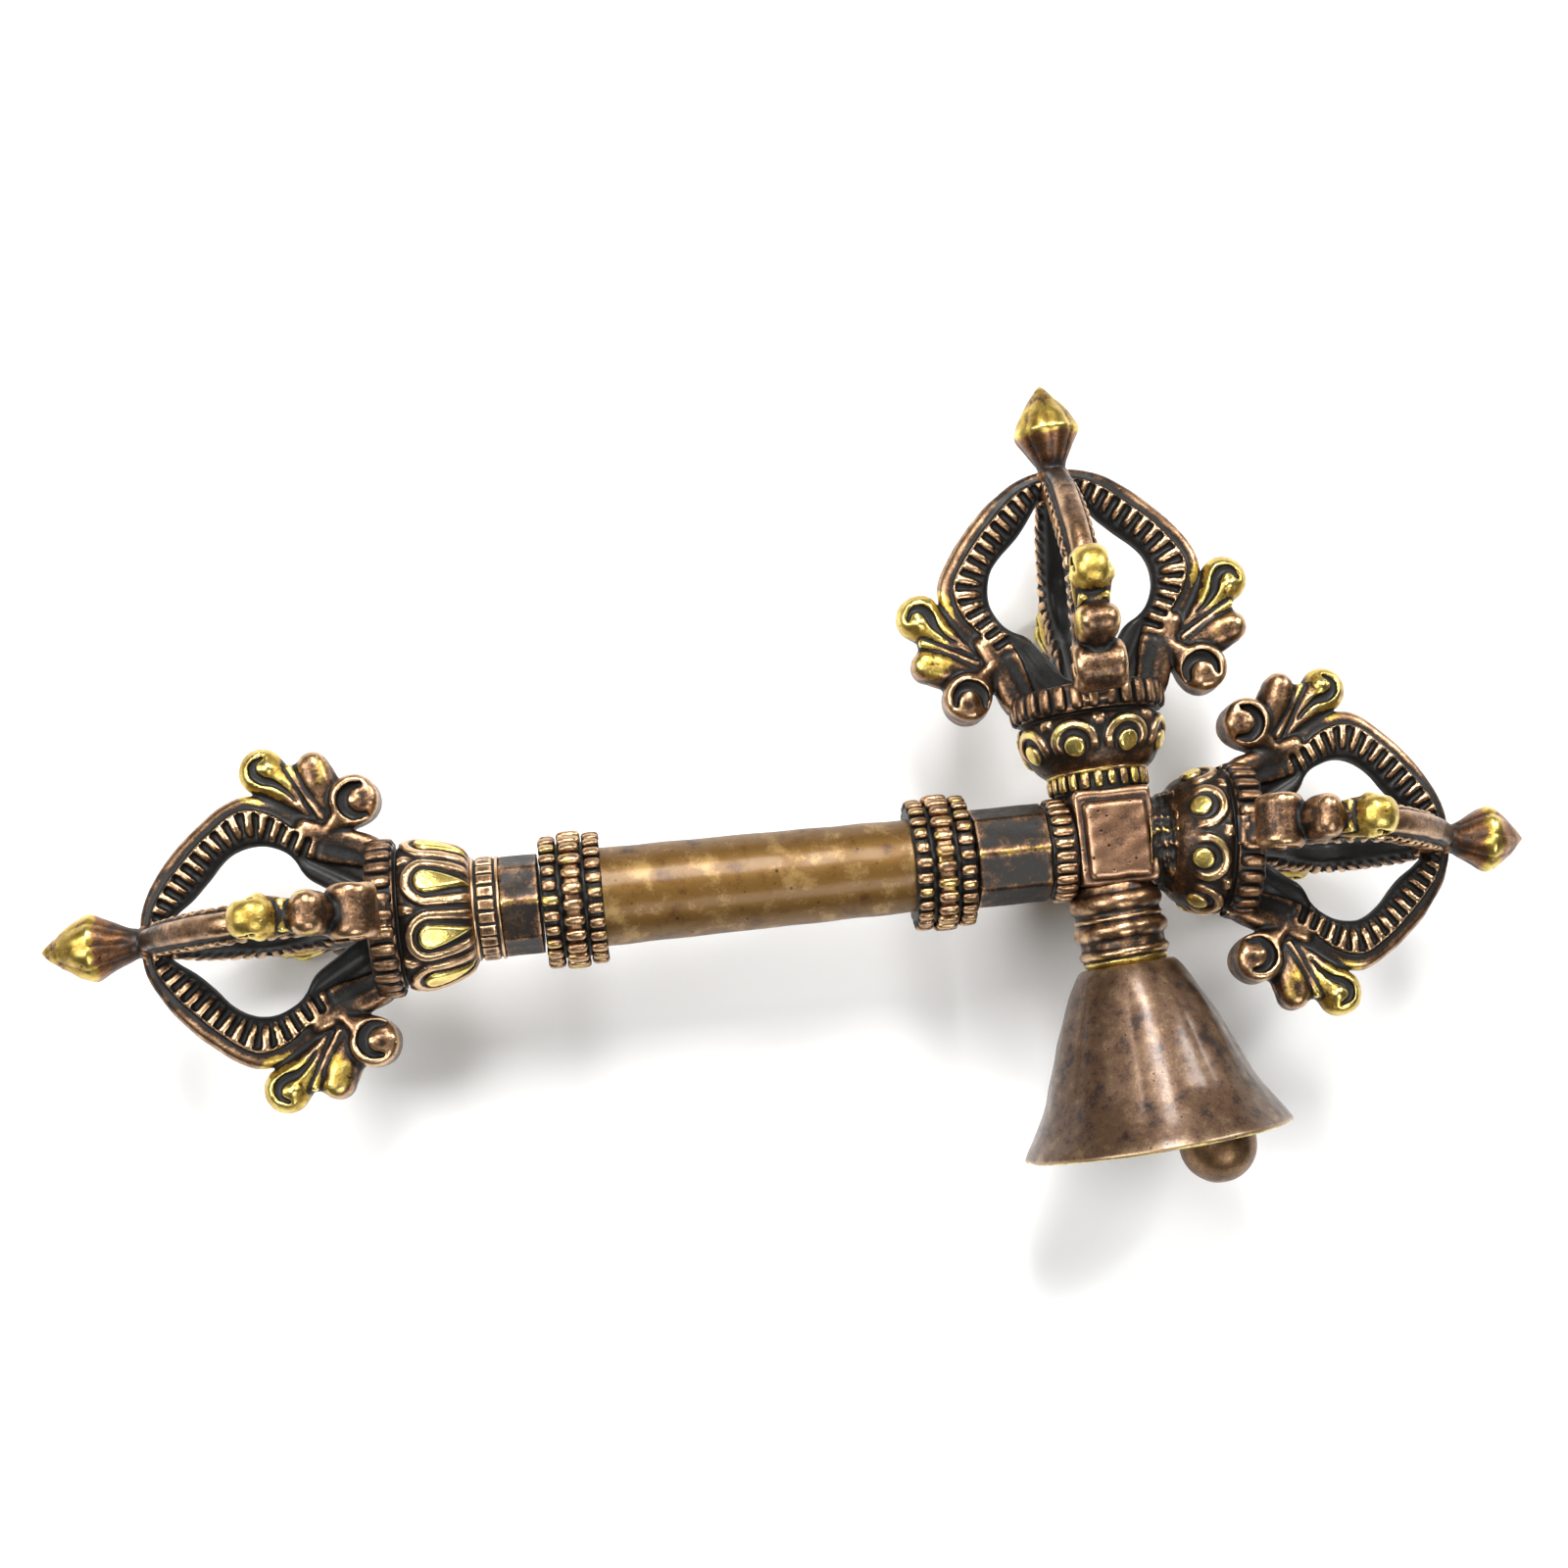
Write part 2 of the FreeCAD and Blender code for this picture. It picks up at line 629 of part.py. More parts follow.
def is_arch_edge(edge):
    """True for the long curved edges of the arch, inside and out, but not for those of the lobes."""
    return hasattr(edge.Curve, "Radius") and edge.CenterOfMass.x < size.scroll_reach.number


def make_prong(label, frame, base, length, reach, drop, angle):
    """One prong: a flat forked casting with a scroll, a leaf and a curl on its outside."""
    body = new_body(label)
    outline = new_sketch(body, "outline")
    draw_outline(outline, prong_outline(length, reach, drop))
    plate = pad(body, "plate", outline, size.prong_thickness, symmetric=True)
    doc.recompute()
    edges = [
        f"Edge{number}"
        for number, edge in enumerate(plate.Shape.Edges, start=1)
        if is_arch_edge(edge)
    ]
    bevel = body.newObject("PartDesign::Chamfer", f"{label}_bevel")
    bevel.Base = (plate, edges)
    bind(bevel, "Size", size.prong_chamfer)
    scroll = new_sketch(body, "scroll")
    draw_circle(scroll, size.scroll_reach, size.scroll_place - drop / 2, size.scroll_disc_radius)
    pad(body, "scroll_disc", scroll, size.scroll_thickness, symmetric=True)
    put(body, frame, base, angle)
    return finish(body)


def make_finial(label, frame, neck_place, waist, length, angle):
    """A square hub that the four prongs meet, a neck and an eight-sided double cone."""
    body = new_body(label)
    hub_base = neck_place - size.neck_height - size.hub_height
    outline = new_sketch(body, "hub", "XY_Plane")
    draw_rectangle(outline, -size.hub_half, -size.hub_half, size.hub_half, size.hub_half)
    pad(body, "hub_pad", outline, size.hub_height)
    neck = size.hub_height + size.neck_height
    revolve(body, "knop", [
        (0, size.hub_height - HUB_OVERLAP),
        (size.hub_half, size.hub_height - HUB_OVERLAP),
        (size.hub_half, size.hub_height),
        (size.finial_neck_radius, neck),
        (size.finial_radius, neck + waist),
        (size.finial_tip_radius, neck + length),
        (0, neck + length),
    ])
    put(body, frame, hub_base, angle)
    return finish(body)


def make_head(name, sides, frame, base, roll, length, reach, drop, waist, finial_length):
    """The four prongs of a head and the finial that closes it."""
    for number, side in enumerate(sides):
        angle = as_size(roll) + 90 * number
        make_prong(f"{name}_prong_{side}", frame, base, length, reach, drop, angle)
    make_finial(f"{name}_finial", frame, base + length, waist, finial_length, roll)


# ------------------------------------------------------------------------------------- the bell

crown_place = size.bell_neck_length
crown_inside = crown_place + size.bell_wall
link_pivot = crown_inside + size.staple_drop
link_centre = size.link_radius - size.link_wire_radius - size.staple_wire_radius - size.running_gap
clapper_pivot = link_centre + size.link_radius
eye_centre = size.eye_radius - size.clapper_wire_radius - size.link_wire_radius - size.running_gap
mouth_from_pivot = size.bell_height - size.bell_wall - size.staple_drop - clapper_pivot
clapper_length = mouth_from_pivot + size.clapper_overhang

# At rest the ball lies against the lip, to the side and below the bell's axis.
ball_reach = size.mouth_radius - size.bell_wall - size.ball_radius - size.ball_gap
down_swing = arcsine(ball_reach * sine(size.ball_bearing) / clapper_length)
side_arm = clapper_pivot + clapper_length * cosine(down_swing)
side_swing = arcsine(ball_reach * cosine(size.ball_bearing) / side_arm)


def make_bell_neck():
    """The ringed neck, with a wedge at its top that makes up for the bell's lean."""
    body = new_body("bell_neck")
    foot = new_sketch(body, "foot", "XY_Plane")
    draw_circle(foot, 0, 0, size.neck_seat_radius)
    untilt = f"{turn('y', size.bell_droop)} * {turn('x', -size.bell_lean)}"
    foot.setExpression("AttachmentOffset", f"placement(vector(0; 0; 0); {untilt})")
    seat = new_sketch(body, "seat", "XY_Plane")
    draw_circle(seat, 0, 0, size.neck_seat_radius)
    raise_sketch(seat, size.neck_seat)
    loft = body.newObject("PartDesign::AdditiveLoft", "bell_neck_wedge")
    loft.Profile = foot
    loft.Sections = [seat]
    ring = (size.bell_neck_length - size.neck_seat) / 3
    groove, proud = size.bell_neck_radius, size.neck_ring_radius
    revolve(body, "rings", [
        (0, size.neck_seat),
        (size.neck_seat_radius, size.neck_seat),
        (proud, size.neck_seat + ring / 2, "through"),
        (groove, size.neck_seat + ring),
        (proud, size.neck_seat + ring * 1.5, "through"),
        (groove, size.neck_seat + ring * 2),
        (proud - size.fit_gap, size.neck_seat + ring * 2.5, "through"),
        (size.crown_radius, size.bell_neck_length),
        (0, size.bell_neck_length),
    ])
    put(body, bell_arm)
    return finish(body)


def make_bell():
    """The bell: a rounded shoulder, a long waist and a flare, with an even wall."""
    body = new_body("bell_shell")
    wall = size.bell_wall
    mouth = size.bell_height
    flare = mouth - size.flare_place
    middle = (size.shoulder_place + flare) / 2
    middle_radius = (size.shoulder_radius + size.waist_radius) / 2 + WAIST_BOW
    shoulder_radius = (size.crown_radius + size.shoulder_radius) / 2 + SHOULDER_BOW[0]
    flare_radius = (size.waist_radius + size.mouth_radius) / 2 - FLARE_BOW[0]
    flare_middle = flare + size.flare_place * FLARE_BOW[1]
    inner_shoulder = size.shoulder_place + wall / 2
    revolve(body, "shell", [
        (0, 0),
        (size.crown_radius, 0),
        (shoulder_radius, size.shoulder_place * SHOULDER_BOW[1], "through"),
        (size.shoulder_radius, size.shoulder_place),
        (middle_radius, middle, "through"),
        (size.waist_radius, flare),
        (flare_radius, flare_middle, "through"),
        (size.mouth_radius, mouth - size.lip_width / 2),
        (size.mouth_radius - size.lip_width / 4, mouth),
        (size.mouth_radius - wall, mouth),
        (flare_radius - wall, flare_middle, "through"),
        (size.waist_radius - wall, flare),
        (middle_radius - wall, middle, "through"),
        (size.shoulder_radius - wall, inner_shoulder),
        (shoulder_radius - wall * INNER_SHOULDER[0],
         wall + size.shoulder_place * INNER_SHOULDER[1], "through"),
        (size.crown_radius - wall * INNER_SHOULDER[2], wall),
        (0, wall),
    ])
    put(body, bell_arm, crown_place)
    return finish(body)


def make_staple():
    """The bent wire under the crown that the link ring hangs from."""
    body = new_body("clapper_staple")
    half, drop = size.staple_half_width, size.staple_drop
    path = new_sketch(body, "path")
    bend = drop - half
    draw_outline(path, [(-half, 0), (-half, bend), (0, drop, "through"), (half, bend), (half, 0)],
                 closed=False)
    profile = new_sketch(body, "wire", "XY_Plane")
    draw_circle(profile, -half, 0, size.staple_wire_radius)
    pipe = body.newObject("PartDesign::AdditivePipe", "clapper_staple_wire_sweep")
    pipe.Profile = profile
    pipe.Spine = (path, ["Edge1", "Edge2", "Edge3"])
    put(body, bell_arm, crown_inside)
    return finish(body)


link_frame = (
    f"{bell_arm} * placement(vector(0; 0; {link_pivot.text}); "
    f"{turn('x', side_swing)})"
)
clapper_frame = (
    f"{link_frame} * placement(vector(0; 0; {clapper_pivot.text}); "
    f"{turn('y', -down_swing)})"
)


def make_link():
    """The loose ring between the staple and the clapper's eye."""
    ring = doc.addObject("Part::Torus", "link_ring")
    ring.Label = "link_ring"
    bind(ring, "Radius1", size.link_radius)
    bind(ring, "Radius2", size.link_wire_radius)
    local = f"placement(vector(0; 0; {link_centre.text}); {turn('y', 90)})"
    ring.setExpression("Placement", f"{link_frame} * {local}")
    return finish(ring)


def make_clapper_wire():
    """The clapper's eye and the straight wire that carries the ball."""
    eye = doc.addObject("Part::Torus", "clapper_eye")
    bind(eye, "Radius1", size.eye_radius)
    bind(eye, "Radius2", size.clapper_wire_radius)
    eye.setExpression("Placement", f"placement(vector(0; 0; {eye_centre.text}); {turn('x', 90)})")
    shank = doc.addObject("Part::Cylinder", "clapper_shank")
    bind(shank, "Radius", size.clapper_wire_radius)
    foot = eye_centre + size.eye_radius
    bind(shank, "Height", clapper_length - foot - size.ball_radius + size.ball_socket_depth)
    bind(shank, "Placement.Base.z", foot)
    wire = doc.addObject("Part::Fuse", "clapper_wire")
    wire.Label = "clapper_wire"
    wire.Base = eye
    wire.Tool = shank
    wire.setExpression("Placement", clapper_frame)
    return finish(wire)


def make_ball():
    """The clapper ball, with the blind hole that its wire is soldered into."""
    sphere = doc.addObject("Part::Sphere", "clapper_ball_sphere")
    bind(sphere, "Radius", size.ball_radius)
    hole = doc.addObject("Part::Cylinder", "clapper_ball_hole")
    bind(hole, "Radius", size.clapper_wire_radius + size.fit_gap)
    bind(hole, "Height", size.ball_socket_depth * 2)
    bind(hole, "Placement.Base.z", -size.ball_radius - size.ball_socket_depth)
    ball = doc.addObject("Part::Cut", "clapper_ball")
    ball.Label = "clapper_ball"
    ball.Base = sphere
    ball.Tool = hole
    put(ball, clapper_frame, clapper_length)
    return finish(ball)


# ----------------------------------------------------------------------------------- the object

top_cup_start = size.top_ring_width
top_rim_face = top_cup_start + size.top_petal_length + size.rim_width
right_cup_start = size.right_ring_width
right_rim_face = right_cup_start + size.right_petal_length + size.rim_width

# The right head sinks with its arm, so its curls reach out less by as much and rest level.
right_curl_distance = right_rim_face + size.curl_place - size.right_lobe_drop
right_reach = size.lobe_reach - right_curl_distance * sine(size.right_droop)

make_block()
make_block_collar()
make_shaft("inner_shaft", size.inner_shaft_length + size.inner_collar_width - size.sleeve_overlap,
           inner_shaft_start, size.block_collar_width + size.tenon_depth, spigot_up=True)
make_triple_collar("inner_collar", size.inner_collar_width, inner_collar_start, stub_below=True)
make_sleeve()
make_triple_collar("outer_collar", size.outer_collar_width, outer_collar_start, stub_below=False)
make_shaft("outer_shaft", size.outer_shaft_length + size.outer_collar_width - size.sleeve_overlap,
           sleeve_end, size.band_width + size.tenon_depth, spigot_up=False)
make_band()
make_cup("handle_lotus_cup", size.handle_petal_length, handle_arm, handle_cup_start, 0,
         size.tenon_depth)
make_head("handle", ("front", "upper", "back", "lower"), handle_arm, handle_rim_face, 0,
          size.handle_prong_length, size.lobe_reach, as_size(0), size.handle_finial_waist,
          size.handle_finial_length)
make_wedge_ring("top_block_ring", size.ring_radius, size.top_ring_width, top_arm,
                size.top_lean, 0)
make_cup("top_lotus_cup", size.top_petal_length, top_arm, top_cup_start, size.top_roll)
make_head("top", ("front", "right", "back", "left"), top_arm, top_rim_face, size.top_roll,
          size.top_prong_length, size.lobe_reach, as_size(0), size.top_finial_waist,
          size.top_finial_length)
make_wedge_ring("right_block_ring", size.right_ring_foot_radius, size.right_ring_width, right_arm,
                size.right_lean, size.right_droop)
make_cup("right_lotus_cup", size.right_petal_length, right_arm, right_cup_start, size.right_roll)
make_head("right", ("front", "lower", "back", "upper"), right_arm, right_rim_face,
          size.right_roll, size.right_prong_length, right_reach, size.right_lobe_drop,
          size.right_finial_waist, size.right_finial_length)
make_bell_neck()
make_bell()
make_staple()
make_link()
make_clapper_wire()
make_ball()

doc.recompute()
for item in doc.Objects:
    if {"Invalid", "Error"} & set(item.State):
        raise RuntimeError(f"{item.Name} failed: {item.State}")
for item in parts:
    if item.Shape.isNull() or not item.Shape.isValid() or not item.Shape.Solids:
        raise RuntimeError(f"{item.Label}: no valid solid")
for item in parts:
    item.Shape.exportStep(f"parts/{item.Label}.step")
    print(f"{item.Label:22s} {item.Shape.Volume:10.1f} mm3")
print(len(parts), "sub-parts")
print(f"clapper at rest: {side_swing.number:.3f} degrees to the side, {down_swing.number:.3f} down")
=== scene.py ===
import json
import math
from itertools import product

import bpy
import numpy as np
from mathutils import Matrix, Vector

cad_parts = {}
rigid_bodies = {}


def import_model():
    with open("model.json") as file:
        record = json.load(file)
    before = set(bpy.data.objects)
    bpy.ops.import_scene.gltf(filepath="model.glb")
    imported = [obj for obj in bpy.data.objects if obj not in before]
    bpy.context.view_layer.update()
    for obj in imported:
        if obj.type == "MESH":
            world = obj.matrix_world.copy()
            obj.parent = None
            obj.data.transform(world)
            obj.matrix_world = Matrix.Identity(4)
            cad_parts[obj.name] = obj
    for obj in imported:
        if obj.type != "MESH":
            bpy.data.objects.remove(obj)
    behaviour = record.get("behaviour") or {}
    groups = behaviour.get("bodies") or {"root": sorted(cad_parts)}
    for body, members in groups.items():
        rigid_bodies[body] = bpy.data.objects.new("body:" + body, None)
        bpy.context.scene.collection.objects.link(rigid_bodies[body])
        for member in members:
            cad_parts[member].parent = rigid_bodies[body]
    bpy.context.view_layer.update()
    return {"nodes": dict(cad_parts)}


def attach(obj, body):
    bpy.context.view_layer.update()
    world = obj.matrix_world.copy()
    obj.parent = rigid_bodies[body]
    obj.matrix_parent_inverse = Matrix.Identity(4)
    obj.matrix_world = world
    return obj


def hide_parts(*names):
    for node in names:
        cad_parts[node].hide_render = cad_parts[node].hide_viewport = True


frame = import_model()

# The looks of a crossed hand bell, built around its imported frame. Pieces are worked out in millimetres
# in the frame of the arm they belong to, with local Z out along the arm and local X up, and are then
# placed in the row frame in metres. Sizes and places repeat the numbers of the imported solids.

MM = 0.001
PER_METRE = 1000  # over a size in millimetres, gives a pattern's scale on metres

# ---- the arms ----

LOBE_REACH = 24.2
TOP_ROLL = -3.0
RIGHT_ROLL = -2.8
HALF_EIGHTH = 22.5  # degrees: half of an eighth of a turn
HALF_PRONG = 2.5
# The piece rests on a lobe of the top head, whose corner is this far under the axis.
AXIS_HEIGHT = (LOBE_REACH * math.cos(math.radians(TOP_ROLL))
        - HALF_PRONG * math.sin(math.radians(TOP_ROLL)))


def shifted(x=0.0, y=0.0, z=0.0):
    """A 4x4 shift."""
    matrix = np.eye(4)
    matrix[:3, 3] = (x, y, z)
    return matrix


def turned(axis, degrees):
    """A 4x4 turn about one of the axes."""
    return np.array(Matrix.Rotation(math.radians(degrees), 4, axis.upper()))


def arm(x, y, azimuth, lean=0.0, droop=0.0):
    """The frame of an arm that starts at (x, y) and looks out along the azimuth."""
    level = shifted(x, y, AXIS_HEIGHT) @ turned("z", azimuth) @ turned("y", 90) @ turned("z", 180)
    return level @ turned("x", lean) @ turned("y", -droop)


HANDLE_ARM = arm(0, 0, 180)
RIGHT_ARM = arm(5.3, 0, 0, lean=-5.2, droop=0.7)
TOP_ARM = arm(-0.5, 7.4, 90, lean=1.5)
BELL_ARM = arm(-0.3, -5.6, -90, lean=3.9, droop=2.4)
# Where the loose ring and the wire hang, and how far each leans at rest.
RING_PLACE, RING_LEAN = 14.4, 22.412
WIRE_PLACE, WIRE_LEAN = 2.7, -16.595
CLAPPER_ARM = (BELL_ARM @ shifted(z=RING_PLACE) @ turned("x", RING_LEAN)
        @ shifted(z=WIRE_PLACE) @ turned("y", WIRE_LEAN))

# ---- mesh helpers ----


def neighbours(faces):
    """Both ends of every edge of the faces, each edge in both directions."""
    pairs = [np.stack([f[:, i], f[:, (i + 1) % f.shape[1]]], 1) for f in faces for i in range(f.shape[1])]
    pairs = np.concatenate(pairs)
    return np.concatenate([pairs[:, 0], pairs[:, 1]]), np.concatenate([pairs[:, 1], pairs[:, 0]])


def blurred(values, ends, times):
    """Values on the vertices after averaging with their neighbours."""
    start, end = ends
    count = np.maximum(np.bincount(start, minlength=len(values)), 1)[:, None]
    for _ in range(times):
        total = np.stack([np.bincount(start, column, len(values)) for column in values[end].T], 1)
        values = 0.5 * values + 0.5 * total / count
    return values


def normals_of(points, faces):
    """Vertex normals."""
    total = np.zeros_like(points)
    for f in faces:
        last = f.shape[1] - 1
        across = np.cross(points[f[:, 2]] - points[f[:, 0]], points[f[:, last]] - points[f[:, 1]])
        for i in range(f.shape[1]):
            for axis in range(3):
                total[:, axis] += np.bincount(f[:, i], across[:, axis], len(points))
    return total / np.maximum(np.linalg.norm(total, axis=1), 1e-12)[:, None]


def proudness(points, faces, fine=6, coarse=40, gains=(3.0, 0.9)):
    """How far each vertex stands out of its surroundings: 0.5 is level, 0 sunk, 1 proud."""
    ends = neighbours(faces)
    out = normals_of(points, faces)
    near = blurred(points, ends, fine)
    far = blurred(near, ends, coarse)
    return 0.5 + gains[0] * ((points - near) * out).sum(1) + gains[1] * ((points - far) * out).sum(1)


def ripple(points, size, seed):
    """Smooth pseudo-random values from -1 to 1 with bumps of about the given size in millimetres."""
    local = np.random.default_rng(seed)
    total = np.zeros(len(points))
    for _ in range(7):
        wave = local.normal(size=3)
        wave *= 2 * math.pi / size / np.linalg.norm(wave) * local.uniform(0.6, 1.4)
        total += np.sin(points @ wave + local.uniform(0, 7))
    return total / 4.0


def make_mesh(name, points, faces, place, values=None):
    """A mesh in the row frame, with its named values on the vertices."""
    points = points @ place[:3, :3].T + place[:3, 3]
    mesh = bpy.data.meshes.new(name)
    mesh.vertices.add(len(points))
    mesh.vertices.foreach_set("co", (points * MM).astype(np.float32).ravel())
    counts = np.concatenate([np.full(len(f), f.shape[1]) for f in faces])
    mesh.loops.add(int(counts.sum()))
    mesh.loops.foreach_set("vertex_index", np.concatenate([f.ravel() for f in faces]).astype(np.int32))
    mesh.polygons.add(len(counts))
    starts = np.concatenate([[0], np.cumsum(counts)[:-1]])
    mesh.polygons.foreach_set("loop_start", starts.astype(np.int32))
    mesh.update(calc_edges=True)
    mesh.polygons.foreach_set("use_smooth", np.ones(len(counts), bool))
    for key, value in (values or {}).items():
        layer = mesh.attributes.new(key, "FLOAT", "POINT")
        layer.data.foreach_set("value", np.clip(value, 0, 1).astype(np.float32))
    mesh.validate()
    return mesh


def placed(name, data):
    """A new object in the scene."""
    item = bpy.data.objects.new(name, data)
    bpy.context.scene.collection.objects.link(item)
    return item


def piece(name, mesh, material, nodes, body="root"):
    """A finished piece that rides on its body and stands for its frame nodes, if it has any."""
    item = placed(name, mesh)
    if not mesh.materials:
        mesh.materials.append(material)
    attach(item, body)
    if nodes:
        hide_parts(*nodes)
    return item


def lathe(profile, columns, bulge=None):
    """Turns a profile of (radius, height) about Z. A radius of 0 at an end closes it in a point, and any
    other end is left open."""
    profile = np.asarray(profile, float)
    first_pole, last_pole = profile[0, 0] == 0, profile[-1, 0] == 0
    rows = profile[(1 if first_pole else 0):(len(profile) - 1 if last_pole else len(profile))]
    angle = np.arange(columns) * 2 * math.pi / columns
    radius = np.repeat(rows[:, :1], columns, 1)
    height = np.repeat(rows[:, 1:], columns, 1)
    if bulge is not None:
        radius = radius + bulge(np.repeat(angle[None], len(rows), 0), height, radius)
    points = np.stack([radius * np.cos(angle), radius * np.sin(angle), height], -1).reshape(-1, 3)
    index = np.arange(len(rows) * columns).reshape(len(rows), columns)
    beside = np.roll(index, -1, 1)
    quads = np.stack([index[:-1], beside[:-1], beside[1:], index[1:]], -1).reshape(-1, 4)
    faces = [quads]
    if first_pole:
        points = np.vstack([points, [[0, 0, profile[0, 1]]]])
        faces.append(np.stack([np.full(columns, len(points) - 1), beside[0], index[0]], 1))
    if last_pole:
        points = np.vstack([points, [[0, 0, profile[-1, 1]]]])
        faces.append(np.stack([np.full(columns, len(points) - 1), index[-1], beside[-1]], 1))
    return points, faces


def evened(corners, step):
    """The same line with points a step apart."""
    corners = np.asarray(corners, float)
    reach = np.concatenate([[0], np.cumsum(np.linalg.norm(np.diff(corners, axis=0), axis=1))])
    places = np.linspace(0, reach[-1], int(reach[-1] / step) + 2)
    return np.stack([np.interp(places, reach, corners[:, i]) for i in range(2)], 1)


def bowed(corners, share=8):
    """A smooth line through the corners."""
    corners = np.asarray(corners, float)
    padded = np.vstack([2 * corners[0] - corners[1], corners, 2 * corners[-1] - corners[-2]])
    line = []
    for a, b, c, d in zip(padded, padded[1:], padded[2:], padded[3:]):
        for t in np.arange(share) / share:
            line.append(0.5 * (2 * b + (c - a) * t + (2 * a - 5 * b + 4 * c - d) * t * t
                    + (3 * b - a - 3 * c + d) * t ** 3))
    return np.vstack([line, corners[-1:]])


def eased(value, low, high):
    """0 below low, 1 above high, and a smooth step between."""
    t = np.clip((value - low) / (high - low), 0, 1)
    return t * t * (3 - 2 * t)


# ---- shapes from distances ----


def surface_net(field, origin, step):
    """A mesh where the field crosses zero, open where the shape runs off the grid. The field is negative
    inside."""
    inside = field < 0
    cells_shape = tuple(n - 1 for n in field.shape)

    def corner_of(values, corner):
        """The values at one corner of every cell."""
        return values[tuple(slice(c, c + n) for c, n in zip(corner, cells_shape))]

    total = sum(corner_of(inside, corner).astype(int) for corner in product((0, 1), repeat=3))
    active = (total > 0) & (total < 8)
    index = np.full(active.shape, -1)
    index[active] = np.arange(active.sum())
    moved = np.zeros(active.shape + (3,))
    count = np.zeros(active.shape)
    for axis, first, second in product(range(3), (0, 1), (0, 1)):
        low = [first, second]
        low.insert(axis, 0)
        high = list(low)
        high[axis] = 1
        a, b = corner_of(field, low), corner_of(field, high)
        cross = (a < 0) != (b < 0)
        share = np.where(cross, a / np.where(cross, a - b, 1), 0)
        for q in range(3):
            moved[..., q] += cross * (share if q == axis else low[q])
        count += cross
    points = (np.argwhere(active) + moved[active] / count[active][:, None]) * step + origin
    quads = []
    for axis in range(3):
        b, c = (axis + 1) % 3, (axis + 2) % 3
        low = [slice(1, n - 1) for n in field.shape]
        high = list(low)
        low[axis] = slice(0, field.shape[axis] - 1)
        high[axis] = slice(1, field.shape[axis])
        starts, ends = inside[tuple(low)], inside[tuple(high)]
        for outwards in (True, False):
            spot = np.argwhere((starts if outwards else ~starts) & (starts != ends))
            spot[:, b] += 1
            spot[:, c] += 1
            ring = []
            for db, dc in ((0, 0), (-1, 0), (-1, -1), (0, -1)):
                cell = spot.copy()
                cell[:, b] += db
                cell[:, c] += dc
                ring.append(index[tuple(cell.T)])
            quads.append(np.stack(ring if outwards else ring[::-1], 1))
    return points, np.concatenate(quads)


def along(path, a, b):
    """Distance of the points (a, b) from a path, how far along it they are, and their side."""
    path = np.asarray(path, float)
    best = np.full(a.shape, 1e9)
    where = np.zeros(a.shape)
    side = np.zeros(a.shape)
    reach = 0.0
    for p, q in zip(path, path[1:]):
        d = q - p
        length = float(np.hypot(*d))
        t = np.clip(((a - p[0]) * d[0] + (b - p[1]) * d[1]) / length ** 2, 0, 1)
        gap = np.hypot(a - p[0] - t * d[0], b - p[1] - t * d[1])
        closer = gap < best
        best = np.where(closer, gap, best)
        where = np.where(closer, reach + t * length, where)
        side = np.where(closer, np.sign(d[0] * (b - p[1]) - d[1] * (a - p[0])), side)
        reach += length
    return best, where, side


def stroke(a, b, *stops):
    """A flat shape: a line through stops of (a, b, radius), as thick as its stops say."""
    stops = np.asarray(stops, float)
    if len(stops) == 1:
        return np.hypot(a - stops[0, 0], b - stops[0, 1]) - stops[0, 2]
    line = bowed(stops, 5)
    gap, reach, _ = along(line[:, :2], a, b)
    places = np.concatenate([[0], np.cumsum(np.linalg.norm(np.diff(line[:, :2], axis=0), axis=1))])
    return gap - np.interp(reach, places, line[:, 2])


def melt(a, b, k):
    """The union of two shapes with a fillet of about k."""
    h = np.clip(0.5 + 0.5 * (b - a) / k, 0, 1)
    return b * (1 - h) + a * h - k * h * (1 - h)


def carve(a, b, k):
    """The first shape without the second, with a rounded edge of about k."""
    return -melt(-a, b, k)


def pillow(flat, y, half, edge):
    """A flat shape made half thick on both sides of y = 0, with rounded edges."""
    u, v = flat + edge, np.abs(y) - half + edge
    return np.minimum(np.maximum(u, v), 0) + np.hypot(np.maximum(u, 0), np.maximum(v, 0)) - edge


# ---- the prongs ----

PRONG_STEP = 0.26  # the grid that a prong is cut from
RIB_PITCH = 1.85
# Lines of (along the axis, out from the axis): the outside of the strap, the window inside it, and the
# middle of the band that its ribs are counted along.
ARCH_EDGE = bowed([(30.1, 0.0), (29.9, 2.8), (29.2, 5.2), (28.0, 7.5), (25.9, 10.4), (23.3, 13.1),
        (20.7, 15.3), (18.1, 17.1), (15.6, 17.9), (12.8, 17.5), (10.2, 16.2), (8.0, 14.4),
        (5.6, 12.9), (2.8, 11.8), (-0.6, 10.9)], 5)
WINDOW_EDGE = bowed([(28.0, -0.6), (27.2, 1.3), (25.5, 3.1), (22.9, 5.1), (20.8, 7.2), (19.2, 9.1),
        (17.4, 10.5), (15.4, 11.2), (13.4, 11.2), (11.6, 10.6), (10.1, 9.7), (9.1, 8.5), (8.5, 7.3),
        (7.6, 6.2), (5.8, 5.0), (3.8, 3.6), (1.8, 2.0), (0.8, -0.6)], 4)
BAND_MIDDLE = bowed([(28.2, 1.2), (27.2, 3.3), (25.6, 5.8), (23.3, 8.6), (21.0, 11.0), (18.6, 12.9),
        (16.0, 14.1), (13.4, 14.2), (10.9, 13.3), (8.8, 12.2), (6.6, 11.1), (3.6, 9.8), (0.6, 8.4)], 4)


